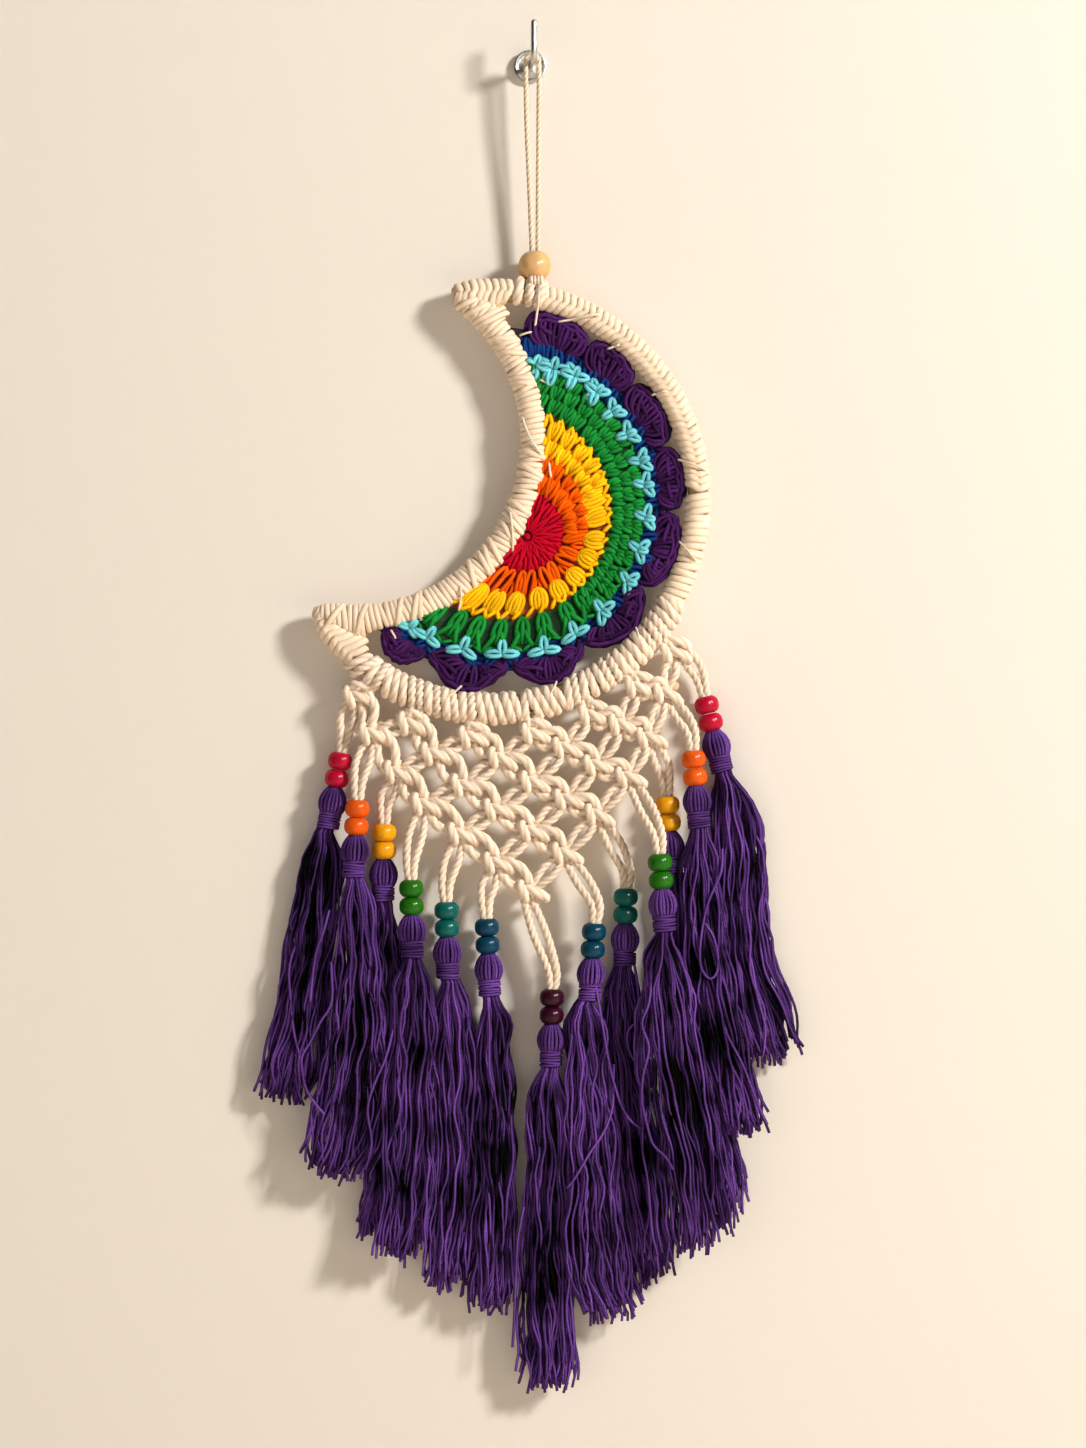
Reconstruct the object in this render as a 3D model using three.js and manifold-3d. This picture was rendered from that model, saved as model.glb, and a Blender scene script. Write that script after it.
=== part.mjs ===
// Crescent-moon dreamcatcher, as it hangs from its screw-in hook.
// A wrapped crescent ring holds a round-by-round crochet panel. A macrame net of square knots hangs
// from the ring's lower arc, and every end of the net runs through two beads into a yarn tassel.
// Millimetres. +Z is up, +X is to the viewer's right and +Y points into the wall, which is y = 0.
// The origin is the middle of the hook plate's back face.

import * as THREE from 'three';
import { mergeVertices } from 'three/addons/utils/BufferGeometryUtils.js';
import Module from 'manifold-3d';

const wasm = await Module();
wasm.setup();

// Driving dimensions

const CLEARANCE = 0.3; // between neighbouring pieces
const HANGING_DEPTH = 10; // from the wall to the middle of the ring, the panel and the net

const MOON = { x: -19.3, z: -213.5, radius: 101.5 }; // the 8 inch ring's own circle
const BITE = { x: -85.3, z: -184.7, radius: 87.2 }; // the circle of the ring's hollow side
const MOON_ENDS = { top: 90.5, left: -137.8 }; // degrees from +X, seen from the front
const BITE_ENDS = { top: 46.5, left: -93.5 };
const WRAP = { side: 6.3, bite: 6.7, knotted: 8.7, tip: 5.2, taper: 14, nose: 3.6, ridge: 0.7, slant: 1.6 };
const HORNS = [ // where both arcs are bound together: angles on each circle, from the point inwards
  { moon: { from: 99, to: 84.5 }, bite: { from: 55, to: 38.5 } },
  { moon: { from: -146, to: -131.5 }, bite: { from: -102, to: -85.5 } },
];
const HORN = { wraps: 4, radius: 7, tip: 3, rounding: 0.3 };
const WRAP_PITCH = { side: 6.6, bite: 6.4 };
const WRAP_SIDES = 7;
const KNOTTED_ARC = { from: -29, to: -132, shift: 1.3, blend: 7 }; // the net's cords are tied on here

const PANEL = { back: 2.2, front: 2.2, ridge: 1.3, dip: 0.5 }; // each side of the hanging depth
const PANEL_GAP = 0.45; // from the crochet to the wrapped ring
const HUB = { x: -1.3, z: -232.2, share: 0.05 }; // where the first round starts, as a small ring
const ROUNDS = [
  { name: 'round_crimson', colour: 0xb5062c, x: -3.4, z: -229.3, radius: 21.1, clusters: 10 },
  { name: 'round_orange', colour: 0xf05a0c, x: -7.8, z: -224.9, radius: 36.8, clusters: 10 },
  { name: 'round_yellow', colour: 0xf6a90c, x: -12.3, z: -220.0, radius: 52.4, clusters: 12 },
  { name: 'round_green', colour: 0x1c8a2e, x: -16.2, z: -216.6, radius: 72.0, clusters: 16 },
  { name: 'round_turquoise', colour: 0x66cbcf, x: -16.7, z: -216.1, radius: 76.4, clusters: 9 },
  { name: 'round_navy', colour: 0x14306e, x: -17.2, z: -215.6, radius: 80.9, clusters: 9 },
];
const SHELL_EDGE = { name: 'round_purple', colour: 0x3a1552, start: 79, steps: 4, fullness: 0.6, gap: 0.5 };
const SHELLS = [ // degrees across, and the radius of the valley before it and of its crest
  { span: 21.5, valley: 88.5, crest: 94.2 },
  { span: 18.5, valley: 88.5, crest: 94 },
  { span: 22, valley: 88, crest: 94.2 },
  { span: 21, valley: 89, crest: 94.3 },
  { span: 26, valley: 89, crest: 94.2 },
  { span: 27.5, valley: 89, crest: 92.8 },
  { span: 26, valley: 87.5, crest: 92.8 },
  { span: 29, valley: 84.5, crest: 92.8 },
  { span: 17, valley: 84.5, crest: 91.5 },
];
const LASHES = [ // thread ties from the shell edge to the ring, by angle from +X
  { angle: 68.5, lean: -8 },
  { angle: 48.5, lean: 5 },
  { angle: 28.5, lean: -4 },
  { angle: 7.2, lean: 3 },
  { angle: -17, lean: 4 },
  { angle: -44.3, lean: -4 },
  { angle: -71.3, lean: 4 },
  { angle: -99.3, lean: -5 },
];
const LASH = { radius: 0.6, sides: 5, reach: 3.2, lift: 0.5 };

const NET_ANGLES = [-124, -109.5, -94.5, -79.5, -65, -52, -40]; // where the top knots hang
const NET_RADIUS = 117.7;
const NET_ROWS = [ // each lower row: its drop, and how far it spreads to the sides
  { drop: 11.4, spread: 0.08 },
  { drop: 14.2, spread: 0.05 },
  { drop: 12.5, spread: 0.06 },
  { drop: 13.2, spread: 0 },
  { drop: 14.8, spread: 0 },
  { drop: 16, spread: 0 },
];
const KNOT = { halfWidth: 7.6, halfHeight: 6, halfDepth: 5, ridge: 1.5 };
const KNOT_OUTLINE = [[-1, 0.17], [-1, -0.17], [0, -1], [1, -0.17], [1, 0.17], [0, 1]];
const KNOT_LAYERS = [ // from the back to the front
  { depth: -1, size: 0.68 },
  { depth: -0.5, size: 1 },
  { depth: 0.5, size: 1 },
  { depth: 1, size: 0.7 },
];
const CORD = { radius: 3.1, sides: 4 };
const FILLER = { out: 0.5, down: 2.7 }; // where the inner and the outer cord leave a knot
const TIER = { out: 4.3, down: 0.2 };
const DROP_CORD = { // the two cords above a first bead: how far above it they come together and end
  near: 7,
  end: 2.6,
  core: 5,
  nearLane: 2.1,
  endLane: 1,
  bow: 0.6,
  lean: 0.3,
  taper: [1, 1, 0.9, 0.7],
};

const BEAD = {
  radius: 6,
  height: 8.4,
  bore: 3.2,
  segments: 7,
  shape: [[0.76, -1], [1, 0], [0.76, 1]],
};
const CORE = { radius: 2.45, sides: 5 };
const TASSEL = {
  colour: 0x40206a,
  headRadius: 6.6,
  headLength: 12.5,
  neckRadius: 6.1,
  neckLength: 8,
  sides: 8,
  dome: [[0, 0.55], [0.25, 0.95], [0.7, 1]], // shares of the head's length and radius
};
const SKIRT = { flare: 0.16, fall: 0.3, hem: 12, root: 1.5 }; // shares of its length, then lengths
const LOCK = { uneven: 5, gather: 0.8, halfWidth: 0.2, halfDepth: 0.26, flat: 0.6, gap: 0.4 };
const LOCK_ROWS = [ // locks across from front to back, how far out they reach, and which way they point
  { count: 4, reach: 0.66, depth: -0.56, point: -1 },
  { count: 3, reach: 0.82, depth: 0, point: 1 },
  { count: 4, reach: 0.66, depth: 0.56, point: 1 },
];

const RED = 0xc31230;
const ORANGE = 0xf26a05;
const YELLOW = 0xf2ab0d;
const GREEN = 0x1f7a1c;
const TEAL = 0x0a6158;
const BLUE = 0x0c4a68;
const PLUM = 0x4a1030;

// One row for each bead-and-tassel drop, from left to right. x and z are the top of its first bead,
// lean is its slope to the right in degrees, depth is from the wall. The skirt is an oval bundle:
// its middle at half length and at the tips, its half widths there, and its depth range.
const DROPS = [
  { name: 'red_left', colour: RED, x: -92.4, z: -338, lean: -10.5, depth: 7,
    midX: -109, wide: 11, tipX: -121, tipWide: 10, tipZ: -505, near: 10.2, far: 1 },
  { name: 'orange_left', colour: ORANGE, x: -84.1, z: -361, lean: -3, depth: 14.5,
    midX: -86.5, wide: 9.5, tipX: -96.5, tipWide: 13.5, tipZ: -540, near: 21, far: 10.6 },
  { name: 'yellow_left', colour: YELLOW, x: -71.4, z: -373, lean: -1, depth: 7.5,
    midX: -71, wide: 7.5, tipX: -77.9, tipWide: 7.4, tipZ: -561, near: 10.2, far: 1.2 },
  { name: 'green_left', colour: GREEN, x: -58, z: -400, lean: 1, depth: 15,
    midX: -61.9, wide: 11.2, tipX: -63.9, tipWide: 12.3, tipZ: -578, near: 21, far: 10.6 },
  { name: 'teal_left', colour: TEAL, x: -40.9, z: -411, lean: 1, depth: 10.5,
    midX: -36.3, wide: 8.8, tipX: -41, tipWide: 9.4, tipZ: -595, near: 17, far: 4 },
  { name: 'blue_left', colour: BLUE, x: -21.3, z: -419.2, lean: 2.6, depth: 10.5,
    midX: -16, wide: 9.5, tipX: -20.2, tipWide: 10.4, tipZ: -605, near: 17, far: 4 },
  { name: 'plum', colour: PLUM, x: 10.9, z: -453.6, lean: -1, depth: 11.5,
    midX: 8.2, wide: 11.8, tipX: 7.4, tipWide: 12.6, tipZ: -640, near: 19, far: 4 },
  { name: 'blue_right', colour: BLUE, x: 31.6, z: -421.2, lean: -3.9, depth: 14.5,
    midX: 33.4, wide: 11.2, tipX: 37.6, tipWide: 15, tipZ: -608, near: 21, far: 10.6 },
  { name: 'teal_right', colour: TEAL, x: 47.1, z: -404.6, lean: -1, depth: 7.5,
    midX: 47.5, wide: 9.4, tipX: 56.4, tipWide: 10.4, tipZ: -590, near: 10.2, far: 1.2 },
  { name: 'green_right', colour: GREEN, x: 63, z: -387, lean: 3.8, depth: 22,
    midX: 75, wide: 15.5, tipX: 74.5, tipWide: 16.5, tipZ: -580, near: 29, far: 20.2 },
  { name: 'yellow_right', colour: YELLOW, x: 67.2, z: -359.4, lean: 4, depth: 7,
    midX: 83, wide: 7.5, tipX: 94, tipWide: 10.4, tipZ: -561, near: 9.8, far: 1 },
  { name: 'orange_right', colour: ORANGE, x: 79.6, z: -336.9, lean: 4.8, depth: 14.5,
    midX: 90.5, wide: 11, tipX: 105.4, tipWide: 11, tipZ: -518, near: 19.8, far: 10.6 },
  { name: 'red_right', colour: RED, x: 85.8, z: -310.5, lean: 13.3, depth: 7,
    midX: 107, wide: 12, tipX: 120, tipWide: 13.8, tipZ: -482, near: 10.2, far: 1 },
];

const PLATE = { radius: 8, thickness: 2.4, rim: 1.2, flat: 5.8, back: 0.8, segments: 16 };
const HOOK = { wire: 1.6, lean: 2, reach: 21, bend: 4.5, tip: 19, steps: 12, corners: 4 };
const LOOP = {
  radius: 1.25,
  sides: 8,
  depth: 14,
  foot: -107.4,
  lane: 1.45,
  arch: 8,
  legTop: -3,
  legs: [{ up: 0.3, out: 0.3 }, { up: 0.7, out: 0.75 }], // shares of a leg's height and of its spread
};
const WOOD_BEAD = {
  x: 2.4,
  z: -99.4,
  radius: 8,
  height: 14.4,
  bore: 3.1,
  segments: 12,
  shape: [[0.55, -1], [0.88, -0.6], [1, 0], [0.88, 0.6], [0.55, 1]],
};

const CREAM = 0xe9dcc4;
const TWINE = 0xe0c9a3;
const WOOD = 0xdaa868;
const STEEL = 0xb9b6ae;

// Solids from sections

const TURN = Math.PI * 2;
const radians = THREE.MathUtils.degToRad;
const lerp = THREE.MathUtils.lerp;
const smooth = THREE.MathUtils.smoothstep;

// A closed solid through a row of sections. Each has the same number of points; the first or the
// last may be a single point, and the ends are closed with a fan of triangles.
function loft(sections) {
  const places = [];
  const faces = [];
  const starts = sections.map((section) => {
    const start = places.length / 3;
    section.forEach((p) => places.push(p.x, p.y, p.z));
    return start;
  });
  const closeEnd = (start, count, flip) => {
    for (let i = 1; i < count - 1; i++) {
      faces.push(start, start + (flip ? i + 1 : i), start + (flip ? i : i + 1));
    }
  };
  for (let s = 0; s < sections.length - 1; s++) {
    const [a, b] = [starts[s], starts[s + 1]];
    const [aCount, bCount] = [sections[s].length, sections[s + 1].length];
    for (let i = 0; i < Math.max(aCount, bCount); i++) {
      const j = (i + 1) % Math.max(aCount, bCount);
      if (aCount > 1) faces.push(a + i, b + (bCount > 1 ? i : 0), a + j);
      if (bCount > 1) faces.push(a + (aCount > 1 ? j : 0), b + i, b + j);
    }
  }
  closeEnd(starts[0], sections[0].length, false);
  closeEnd(starts.at(-1), sections.at(-1).length, true);
  const geometry = new THREE.BufferGeometry();
  geometry.setAttribute('position', new THREE.Float32BufferAttribute(places, 3));
  geometry.setIndex(faces);
  return geometry;
}

function solidOf(geometry) {
  const bare = geometry.clone();
  bare.deleteAttribute('normal');
  bare.deleteAttribute('uv');
  const merged = mergeVertices(bare, 1e-4);
  const vertProperties = new Float32Array(merged.attributes.position.array);
  const triVerts = new Uint32Array(merged.index.array);
  const made = new wasm.Manifold(new wasm.Mesh({ numProp: 3, vertProperties, triVerts }));
  if (made.volume() > 0) return made;
  for (let i = 0; i < triVerts.length; i += 3) {
    [triVerts[i + 1], triVerts[i + 2]] = [triVerts[i + 2], triVerts[i + 1]];
  }
  return new wasm.Manifold(new wasm.Mesh({ numProp: 3, vertProperties, triVerts }));
}

function geometryOf(solid) {
  const mesh = solid.getMesh();
  const places = new Float32Array(mesh.numVert * 3);
  for (let i = 0; i < mesh.numVert; i++) {
    const from = i * mesh.numProp;
    places.set(mesh.vertProperties.subarray(from, from + 3), i * 3);
  }
  const geometry = new THREE.BufferGeometry();
  geometry.setAttribute('position', new THREE.BufferAttribute(places, 3));
  geometry.setIndex(new THREE.BufferAttribute(mesh.triVerts, 1));
  return geometry;
}

function fuse(geometries) {
  return geometryOf(geometries.map(solidOf).reduce((all, next) => all.add(next)));
}

// A tube of flat facets through points, with a radius at each of them
function strand(points, radii, sides) {
  const up = new THREE.Vector3(0, 1, 0);
  const sections = points.map((point, i) => {
    const before = points[Math.max(i - 1, 0)];
    const after = points[Math.min(i + 1, points.length - 1)];
    const along = after.clone().sub(before).normalize();
    const across = along.clone().cross(up).normalize();
    const out = across.clone().cross(along);
    return Array.from({ length: sides }, (_, k) => {
      const turn = ((k + 0.5) / sides) * TURN;
      return point
        .clone()
        .addScaledVector(across, radii[i] * Math.cos(turn))
        .addScaledVector(out, radii[i] * Math.sin(turn));
    });
  });
  return loft(sections);
}

const dreamcatcher = new THREE.Group();

function addPiece(name, geometry, colour, roughness = 0.9, metalness = 0) {
  const faceted = geometry.index ? geometry.toNonIndexed() : geometry;
  faceted.computeVertexNormals();
  const material = new THREE.MeshStandardMaterial({ color: colour, roughness, metalness });
  const mesh = new THREE.Mesh(faceted, material);
  mesh.name = name;
  dreamcatcher.add(mesh);
  return mesh;
}

// Wrapped ring: two arcs of cord-bound tube that run into each other at the horns

const onCircle = (circle, radius, angle, depth) =>
  new THREE.Vector3(
    circle.x + radius * Math.cos(angle),
    -depth,
    circle.z + radius * Math.sin(angle),
  );

// 1 along the stretch where the net's cords are tied on, and 0 elsewhere
function knottedShare(degrees) {
  const { from, to, blend } = KNOTTED_ARC;
  return smooth(-degrees, -from - blend, -from + blend) * smooth(degrees, to - blend, to + blend);
}

function wrappedArc(circle, ends, pitch, tubeRadius, shift) {
  const sweep = radians(ends.top - ends.left);
  const wraps = Math.round((sweep * circle.radius) / pitch);
  const sections = [];
  for (let i = 0; i <= wraps * 2; i++) {
    const share = i / (wraps * 2);
    const degrees = lerp(ends.top, ends.left, share);
    const toEnd = Math.min(share, 1 - share) * sweep * circle.radius;
    const tip = smooth(toEnd, 0, WRAP.taper);
    const ridge = i % 2 ? WRAP.ridge / 2 : -WRAP.ridge / 2;
    const tube = lerp(WRAP.tip, tubeRadius(degrees), tip) + ridge;
    const middle = circle.radius + shift(degrees);
    sections.push(
      Array.from({ length: WRAP_SIDES }, (_, k) => {
        const turn = ((k + 0.5) / WRAP_SIDES) * TURN;
        const slant = (WRAP.slant * Math.cos(turn)) / circle.radius;
        const angle = radians(degrees) + slant;
        const depth = HANGING_DEPTH + tube * Math.sin(turn);
        return onCircle(circle, middle + tube * Math.cos(turn), angle, depth);
      }),
    );
  }
  for (const [first, next] of [[0, 1], [sections.length - 1, sections.length - 2]]) {
    const end = sections[first].reduce((sum, p) => sum.add(p), new THREE.Vector3());
    end.divideScalar(WRAP_SIDES);
    const inner = sections[next].reduce((sum, p) => sum.add(p), new THREE.Vector3());
    inner.divideScalar(WRAP_SIDES);
    const nose = end.clone().add(end.clone().sub(inner).setLength(WRAP.nose));
    if (first === 0) sections.unshift([nose]);
    else sections.push([nose]);
  }
  return loft(sections);
}

// The binding of a horn: oval wraps round both arcs, from the point to where they part
function hornWrap({ moon, bite }) {
  const sections = [];
  for (let i = 0; i <= HORN.wraps * 2; i++) {
    const share = i / (HORN.wraps * 2);
    const outer = onCircle(MOON, MOON.radius, radians(lerp(moon.from, moon.to, share)), 0);
    const inner = onCircle(BITE, BITE.radius, radians(lerp(bite.from, bite.to, share)), 0);
    const middle = outer.clone().lerp(inner, 0.5);
    const across = outer.clone().sub(inner);
    const half = across.length() / 2;
    const ridge = i % 2 ? WRAP.ridge / 2 : -WRAP.ridge / 2;
    const rounded = Math.sin(Math.min(share / HORN.rounding, 1) * (Math.PI / 2));
    const deep = lerp(HORN.tip, HORN.radius, rounded) + ridge;
    if (half < 1) across.copy(outer).sub(new THREE.Vector3(BITE.x, 0, BITE.z));
    across.normalize();
    sections.push(
      Array.from({ length: WRAP_SIDES + 1 }, (_, k) => {
        const turn = ((k + 0.5) / (WRAP_SIDES + 1)) * TURN;
        const point = middle.clone().addScaledVector(across, (half + deep) * Math.cos(turn));
        point.y = -HANGING_DEPTH + deep * Math.sin(turn);
        return point;
      }),
    );
  }
  return loft(sections);
}

function crescentRing() {
  const outer = wrappedArc(
    MOON,
    MOON_ENDS,
    WRAP_PITCH.side,
    (degrees) => lerp(WRAP.side, WRAP.knotted, knottedShare(degrees)),
    (degrees) => KNOTTED_ARC.shift * knottedShare(degrees),
  );
  const bite = wrappedArc(BITE, BITE_ENDS, WRAP_PITCH.bite, () => WRAP.bite, () => 0);
  return fuse([outer, bite, ...HORNS.map(hornWrap)]);
}

addPiece('wrapped_ring', crescentRing(), CREAM);

// Crochet rounds: strips between two circles, cut off along the ring's hollow side

const BITE_EDGE = BITE.radius + WRAP.bite + WRAP.ridge / 2 + PANEL_GAP;

// The two angles at which a circle leaves the edge that the wrapped hollow side leaves free
function freeAngles(circle) {
  const toBite = Math.atan2(BITE.z - circle.z, BITE.x - circle.x);
  const apart = Math.hypot(BITE.x - circle.x, BITE.z - circle.z);
  const share = (circle.radius ** 2 + apart ** 2 - BITE_EDGE ** 2) / (2 * circle.radius * apart);
  const half = Math.acos(THREE.MathUtils.clamp(share, -1, 1));
  return { first: toBite - half, last: toBite + half - TURN };
}

// A point is moved straight away from the hollow side where a chord would cut into the wrapping
function clearOfBite(point) {
  const reach = Math.hypot(point.x - BITE.x, point.z - BITE.z);
  if (reach >= BITE_EDGE) return point;
  point.x = BITE.x + ((point.x - BITE.x) * BITE_EDGE) / reach;
  point.z = BITE.z + ((point.z - BITE.z) * BITE_EDGE) / reach;
  return point;
}

function panelSection(inner, outer, raised) {
  const front = HANGING_DEPTH + PANEL.front + raised;
  const back = HANGING_DEPTH - PANEL.back;
  const at = (p, depth) => new THREE.Vector3(p.x, -depth, p.z);
  return [at(inner, back), at(inner, front - PANEL.dip), at(outer, front), at(outer, back)];
}

function crochetRound(round, within) {
  const outside = freeAngles(round);
  const inside = within && freeAngles(within);
  const steps = round.clusters * 2;
  const sections = [];
  for (let i = 0; i <= steps; i++) {
    const share = i / steps;
    const outer = clearOfBite(
      onCircle(round, round.radius, lerp(outside.first, outside.last, share), 0),
    );
    let inner = new THREE.Vector3(HUB.x, 0, HUB.z);
    if (within) {
      const angle = lerp(inside.first, inside.last, share);
      const halfStep = (inside.first - inside.last) / steps / 2;
      const reach = (within.radius + CLEARANCE) / Math.cos(halfStep);
      inner = clearOfBite(onCircle(within, reach, angle, 0));
    } else {
      inner.lerp(outer, HUB.share);
    }
    sections.push(panelSection(inner, outer, i % 2 ? PANEL.ridge : 0));
  }
  return loft(sections);
}

ROUNDS.forEach((round, i) => {
  addPiece(round.name, crochetRound(round, ROUNDS[i - 1]), round.colour);
});

// The shell edge: fans of stitches whose rounded tops make the scallops
function shellEdge() {
  const navy = ROUNDS.at(-1);
  const inside = freeAngles(navy);
  const total = SHELLS.reduce((sum, shell) => sum + shell.span, 0);
  const sections = [];
  let degrees = SHELL_EDGE.start;
  SHELLS.forEach(({ span, valley, crest }, n) => {
    const last = n === SHELLS.length - 1;
    for (let i = 0; i < SHELL_EDGE.steps + (last ? 1 : 0); i++) {
      const share = i / SHELL_EDGE.steps;
      const here = degrees - span * share;
      const rise = Math.sin(Math.PI * share) ** SHELL_EDGE.fullness;
      const outer = clearOfBite(onCircle(MOON, lerp(valley, crest, rise), radians(here), 0));
      const inward = lerp(inside.first, inside.last, (SHELL_EDGE.start - here) / total);
      const inner = clearOfBite(onCircle(navy, navy.radius + SHELL_EDGE.gap, inward, 0));
      sections.push(panelSection(inner, outer, rise * PANEL.ridge));
    }
    degrees -= span;
  });
  return loft(sections);
}

addPiece(SHELL_EDGE.name, shellEdge(), SHELL_EDGE.colour);

// Lashings: short threads laid from a shell's front over the ring
LASHES.forEach(({ angle, lean }, i) => {
  const tube = lerp(WRAP.side, WRAP.knotted, knottedShare(angle)) + WRAP.ridge / 2;
  const middle = MOON.radius + KNOTTED_ARC.shift * knottedShare(angle);
  const front = HANGING_DEPTH + PANEL.front + PANEL.ridge + LASH.radius + CLEARANCE;
  const over = tube + LASH.radius + LASH.lift;
  const turn = Math.asin((front - HANGING_DEPTH) / over);
  const bend = (turn + Math.PI / 2) / 2;
  const wall = middle - over * Math.cos(turn);
  const points = [
    onCircle(MOON, wall - LASH.reach, radians(angle), front),
    onCircle(MOON, wall, radians(angle + lean / 5), front),
    onCircle(
      MOON,
      middle - over * Math.cos(bend),
      radians(angle + lean / 2),
      HANGING_DEPTH + over * Math.sin(bend),
    ),
    onCircle(MOON, middle, radians(angle + lean), HANGING_DEPTH + over),
  ];
  addPiece(`lashing_${i + 1}`, strand(points, points.map(() => LASH.radius), LASH.sides), TWINE);
});

// Macrame net: rows of square knots, each knot under the gap between two of the row above

function netKnots() {
  const top = NET_ANGLES.map((angle) =>
    onCircle(MOON, NET_RADIUS, radians(angle), HANGING_DEPTH),
  );
  const rows = [top];
  NET_ROWS.forEach(({ drop, spread }) => {
    const above = rows.at(-1);
    rows.push(
      above.slice(1).map((knot, j) => {
        const middle = knot.clone().lerp(above[j], 0.5);
        return middle.set(middle.x * (1 + spread), middle.y, middle.z - drop);
      }),
    );
  });
  return rows;
}

// A square knot: four slanting sides, one for each pair of cords, and a ridge across its front
function squareKnot(centre) {
  const sections = KNOT_LAYERS.map(({ depth, size }) =>
    KNOT_OUTLINE.map(([across, up]) => {
      const set = depth === 1 ? KNOT.ridge * Math.abs(up) : 0;
      return new THREE.Vector3(
        centre.x + across * size * KNOT.halfWidth,
        centre.y - depth * KNOT.halfDepth + set,
        centre.z + up * size * KNOT.halfHeight,
      );
    }),
  );
  return loft(sections);
}

const cordAt = (knot, place, side, up) =>
  new THREE.Vector3(knot.x + side * place.out, knot.y, knot.z + up * place.down);

// The two cords from one side of a knot to the knot below. The one that was tied becomes the one
// that is tied around, and the other way round.
function cordPair(from, to) {
  const side = Math.sign(to.x - from.x);
  return [[FILLER, TIER], [TIER, FILLER]].map(([leaving, entering]) => {
    const ends = [cordAt(from, leaving, side, -1), cordAt(to, entering, -side, 1)];
    return strand(ends, [CORD.radius, CORD.radius], CORD.sides);
  });
}

const slopeOf = (drop) => {
  const lean = radians(drop.lean);
  return new THREE.Vector3(Math.sin(lean), 0, -Math.cos(lean));
};

const dropPoint = (drop, along) =>
  new THREE.Vector3(drop.x, -drop.depth, drop.z).addScaledVector(slopeOf(drop), along);

// A drop: two cords that close up above the first bead and go on through both beads as one core
function dropCords(drop, knot, side) {
  const through = 2 * (BEAD.height + CLEARANCE) - CLEARANCE;
  const cords = [FILLER, TIER].map((place) => {
    const lane = place === TIER ? side : -side;
    const start = cordAt(knot, place, side, -1);
    const near = dropPoint(drop, -DROP_CORD.near);
    near.x += lane * DROP_CORD.nearLane;
    const bow = start.clone().lerp(near, 0.5);
    bow.x += side * DROP_CORD.lean + lane * DROP_CORD.bow;
    const end = dropPoint(drop, -DROP_CORD.end);
    end.x += lane * DROP_CORD.endLane;
    const radii = DROP_CORD.taper.map((share) => share * CORD.radius);
    return strand([start, bow, near, end], radii, CORD.sides);
  });
  const line = [dropPoint(drop, -DROP_CORD.core), dropPoint(drop, through)];
  return [...cords, strand(line, [CORE.radius, CORE.radius], CORE.sides)];
}

function macrameNet() {
  const rows = netKnots();
  const pieces = rows.flat().map(squareKnot);
  rows.slice(1).forEach((row, i) => {
    row.forEach((knot, j) => {
      pieces.push(...cordPair(rows[i][j], knot), ...cordPair(rows[i][j + 1], knot));
    });
  });
  DROPS.forEach((drop, n) => {
    const fromEdge = Math.min(n, DROPS.length - 1 - n);
    const side = n < rows.length ? -1 : 1;
    pieces.push(...dropCords(drop, rows[fromEdge].at(side < 0 ? 0 : -1), side));
  });
  return fuse(pieces);
}

addPiece('macrame_net', macrameNet(), CREAM);

// Beads: turned wood with a bore, two on each drop

function beadGeometry({ radius, height, bore, segments, shape }) {
  const outside = shape.map(([across, along]) => [across * radius, (along * height) / 2]);
  const profile = [[bore, -height / 2], ...outside, [bore, height / 2], [bore, -height / 2]];
  const points = profile.map(([across, along]) => new THREE.Vector2(across, along));
  return new THREE.LatheGeometry(points, segments).rotateX(Math.PI / 2);
}

function placeOnDrop(mesh, drop, along) {
  mesh.position.copy(dropPoint(drop, along));
  mesh.rotation.y = -radians(drop.lean);
}

DROPS.forEach((drop) => {
  ['upper', 'lower'].forEach((place, i) => {
    const mesh = addPiece(`bead_${drop.name}_${place}`, beadGeometry(BEAD), drop.colour, 0.3);
    placeOnDrop(mesh, drop, BEAD.height / 2 + i * (BEAD.height + CLEARANCE));
  });
});

// Tassels: a folded-over head bound by a neck band, and a skirt of cut yarn in locks

function skirtAt(drop, top, share) {
  const flare = smooth(share, 0, SKIRT.flare);
  const low = smooth(share, SKIRT.fall, 1);
  const x = lerp(lerp(top.x, drop.midX, smooth(share, 0, 0.5)), drop.tipX, low);
  const wide = lerp(lerp(TASSEL.neckRadius, drop.wide, flare), drop.tipWide, low);
  const middle = (drop.near + drop.far) / 2;
  const deep = lerp(TASSEL.neckRadius, (drop.near - drop.far) / 2, flare);
  return {
    x,
    z: lerp(top.z, drop.tipZ, share),
    depth: lerp(-top.y, middle, flare),
    wide,
    deep,
  };
}

function ovalSection(centre, slope, wide, deep) {
  const across = new THREE.Vector3(-slope.z, 0, slope.x);
  return Array.from({ length: TASSEL.sides }, (_, k) => {
    const turn = ((k + 0.5) / TASSEL.sides) * TURN;
    const point = centre.clone().addScaledVector(across, wide * Math.cos(turn));
    point.y += deep * Math.sin(turn);
    return point;
  });
}

function tasselHead(drop, flare) {
  const { headRadius, headLength, neckRadius, neckLength } = TASSEL;
  const headTop = 2 * (BEAD.height + CLEARANCE);
  const slope = slopeOf(drop);
  const profile = [
    ...TASSEL.dome.map(([along, across]) => [along * headLength, across * headRadius]),
    [headLength, neckRadius],
    [headLength + neckLength, neckRadius],
  ];
  const sections = profile.map(([along, radius]) =>
    ovalSection(dropPoint(drop, headTop + along), slope, radius, radius),
  );
  const hem = new THREE.Vector3(flare.x, -flare.depth, flare.z);
  return loft([...sections, ovalSection(hem, new THREE.Vector3(0, 0, -1), flare.wide, flare.deep)]);
}

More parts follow.
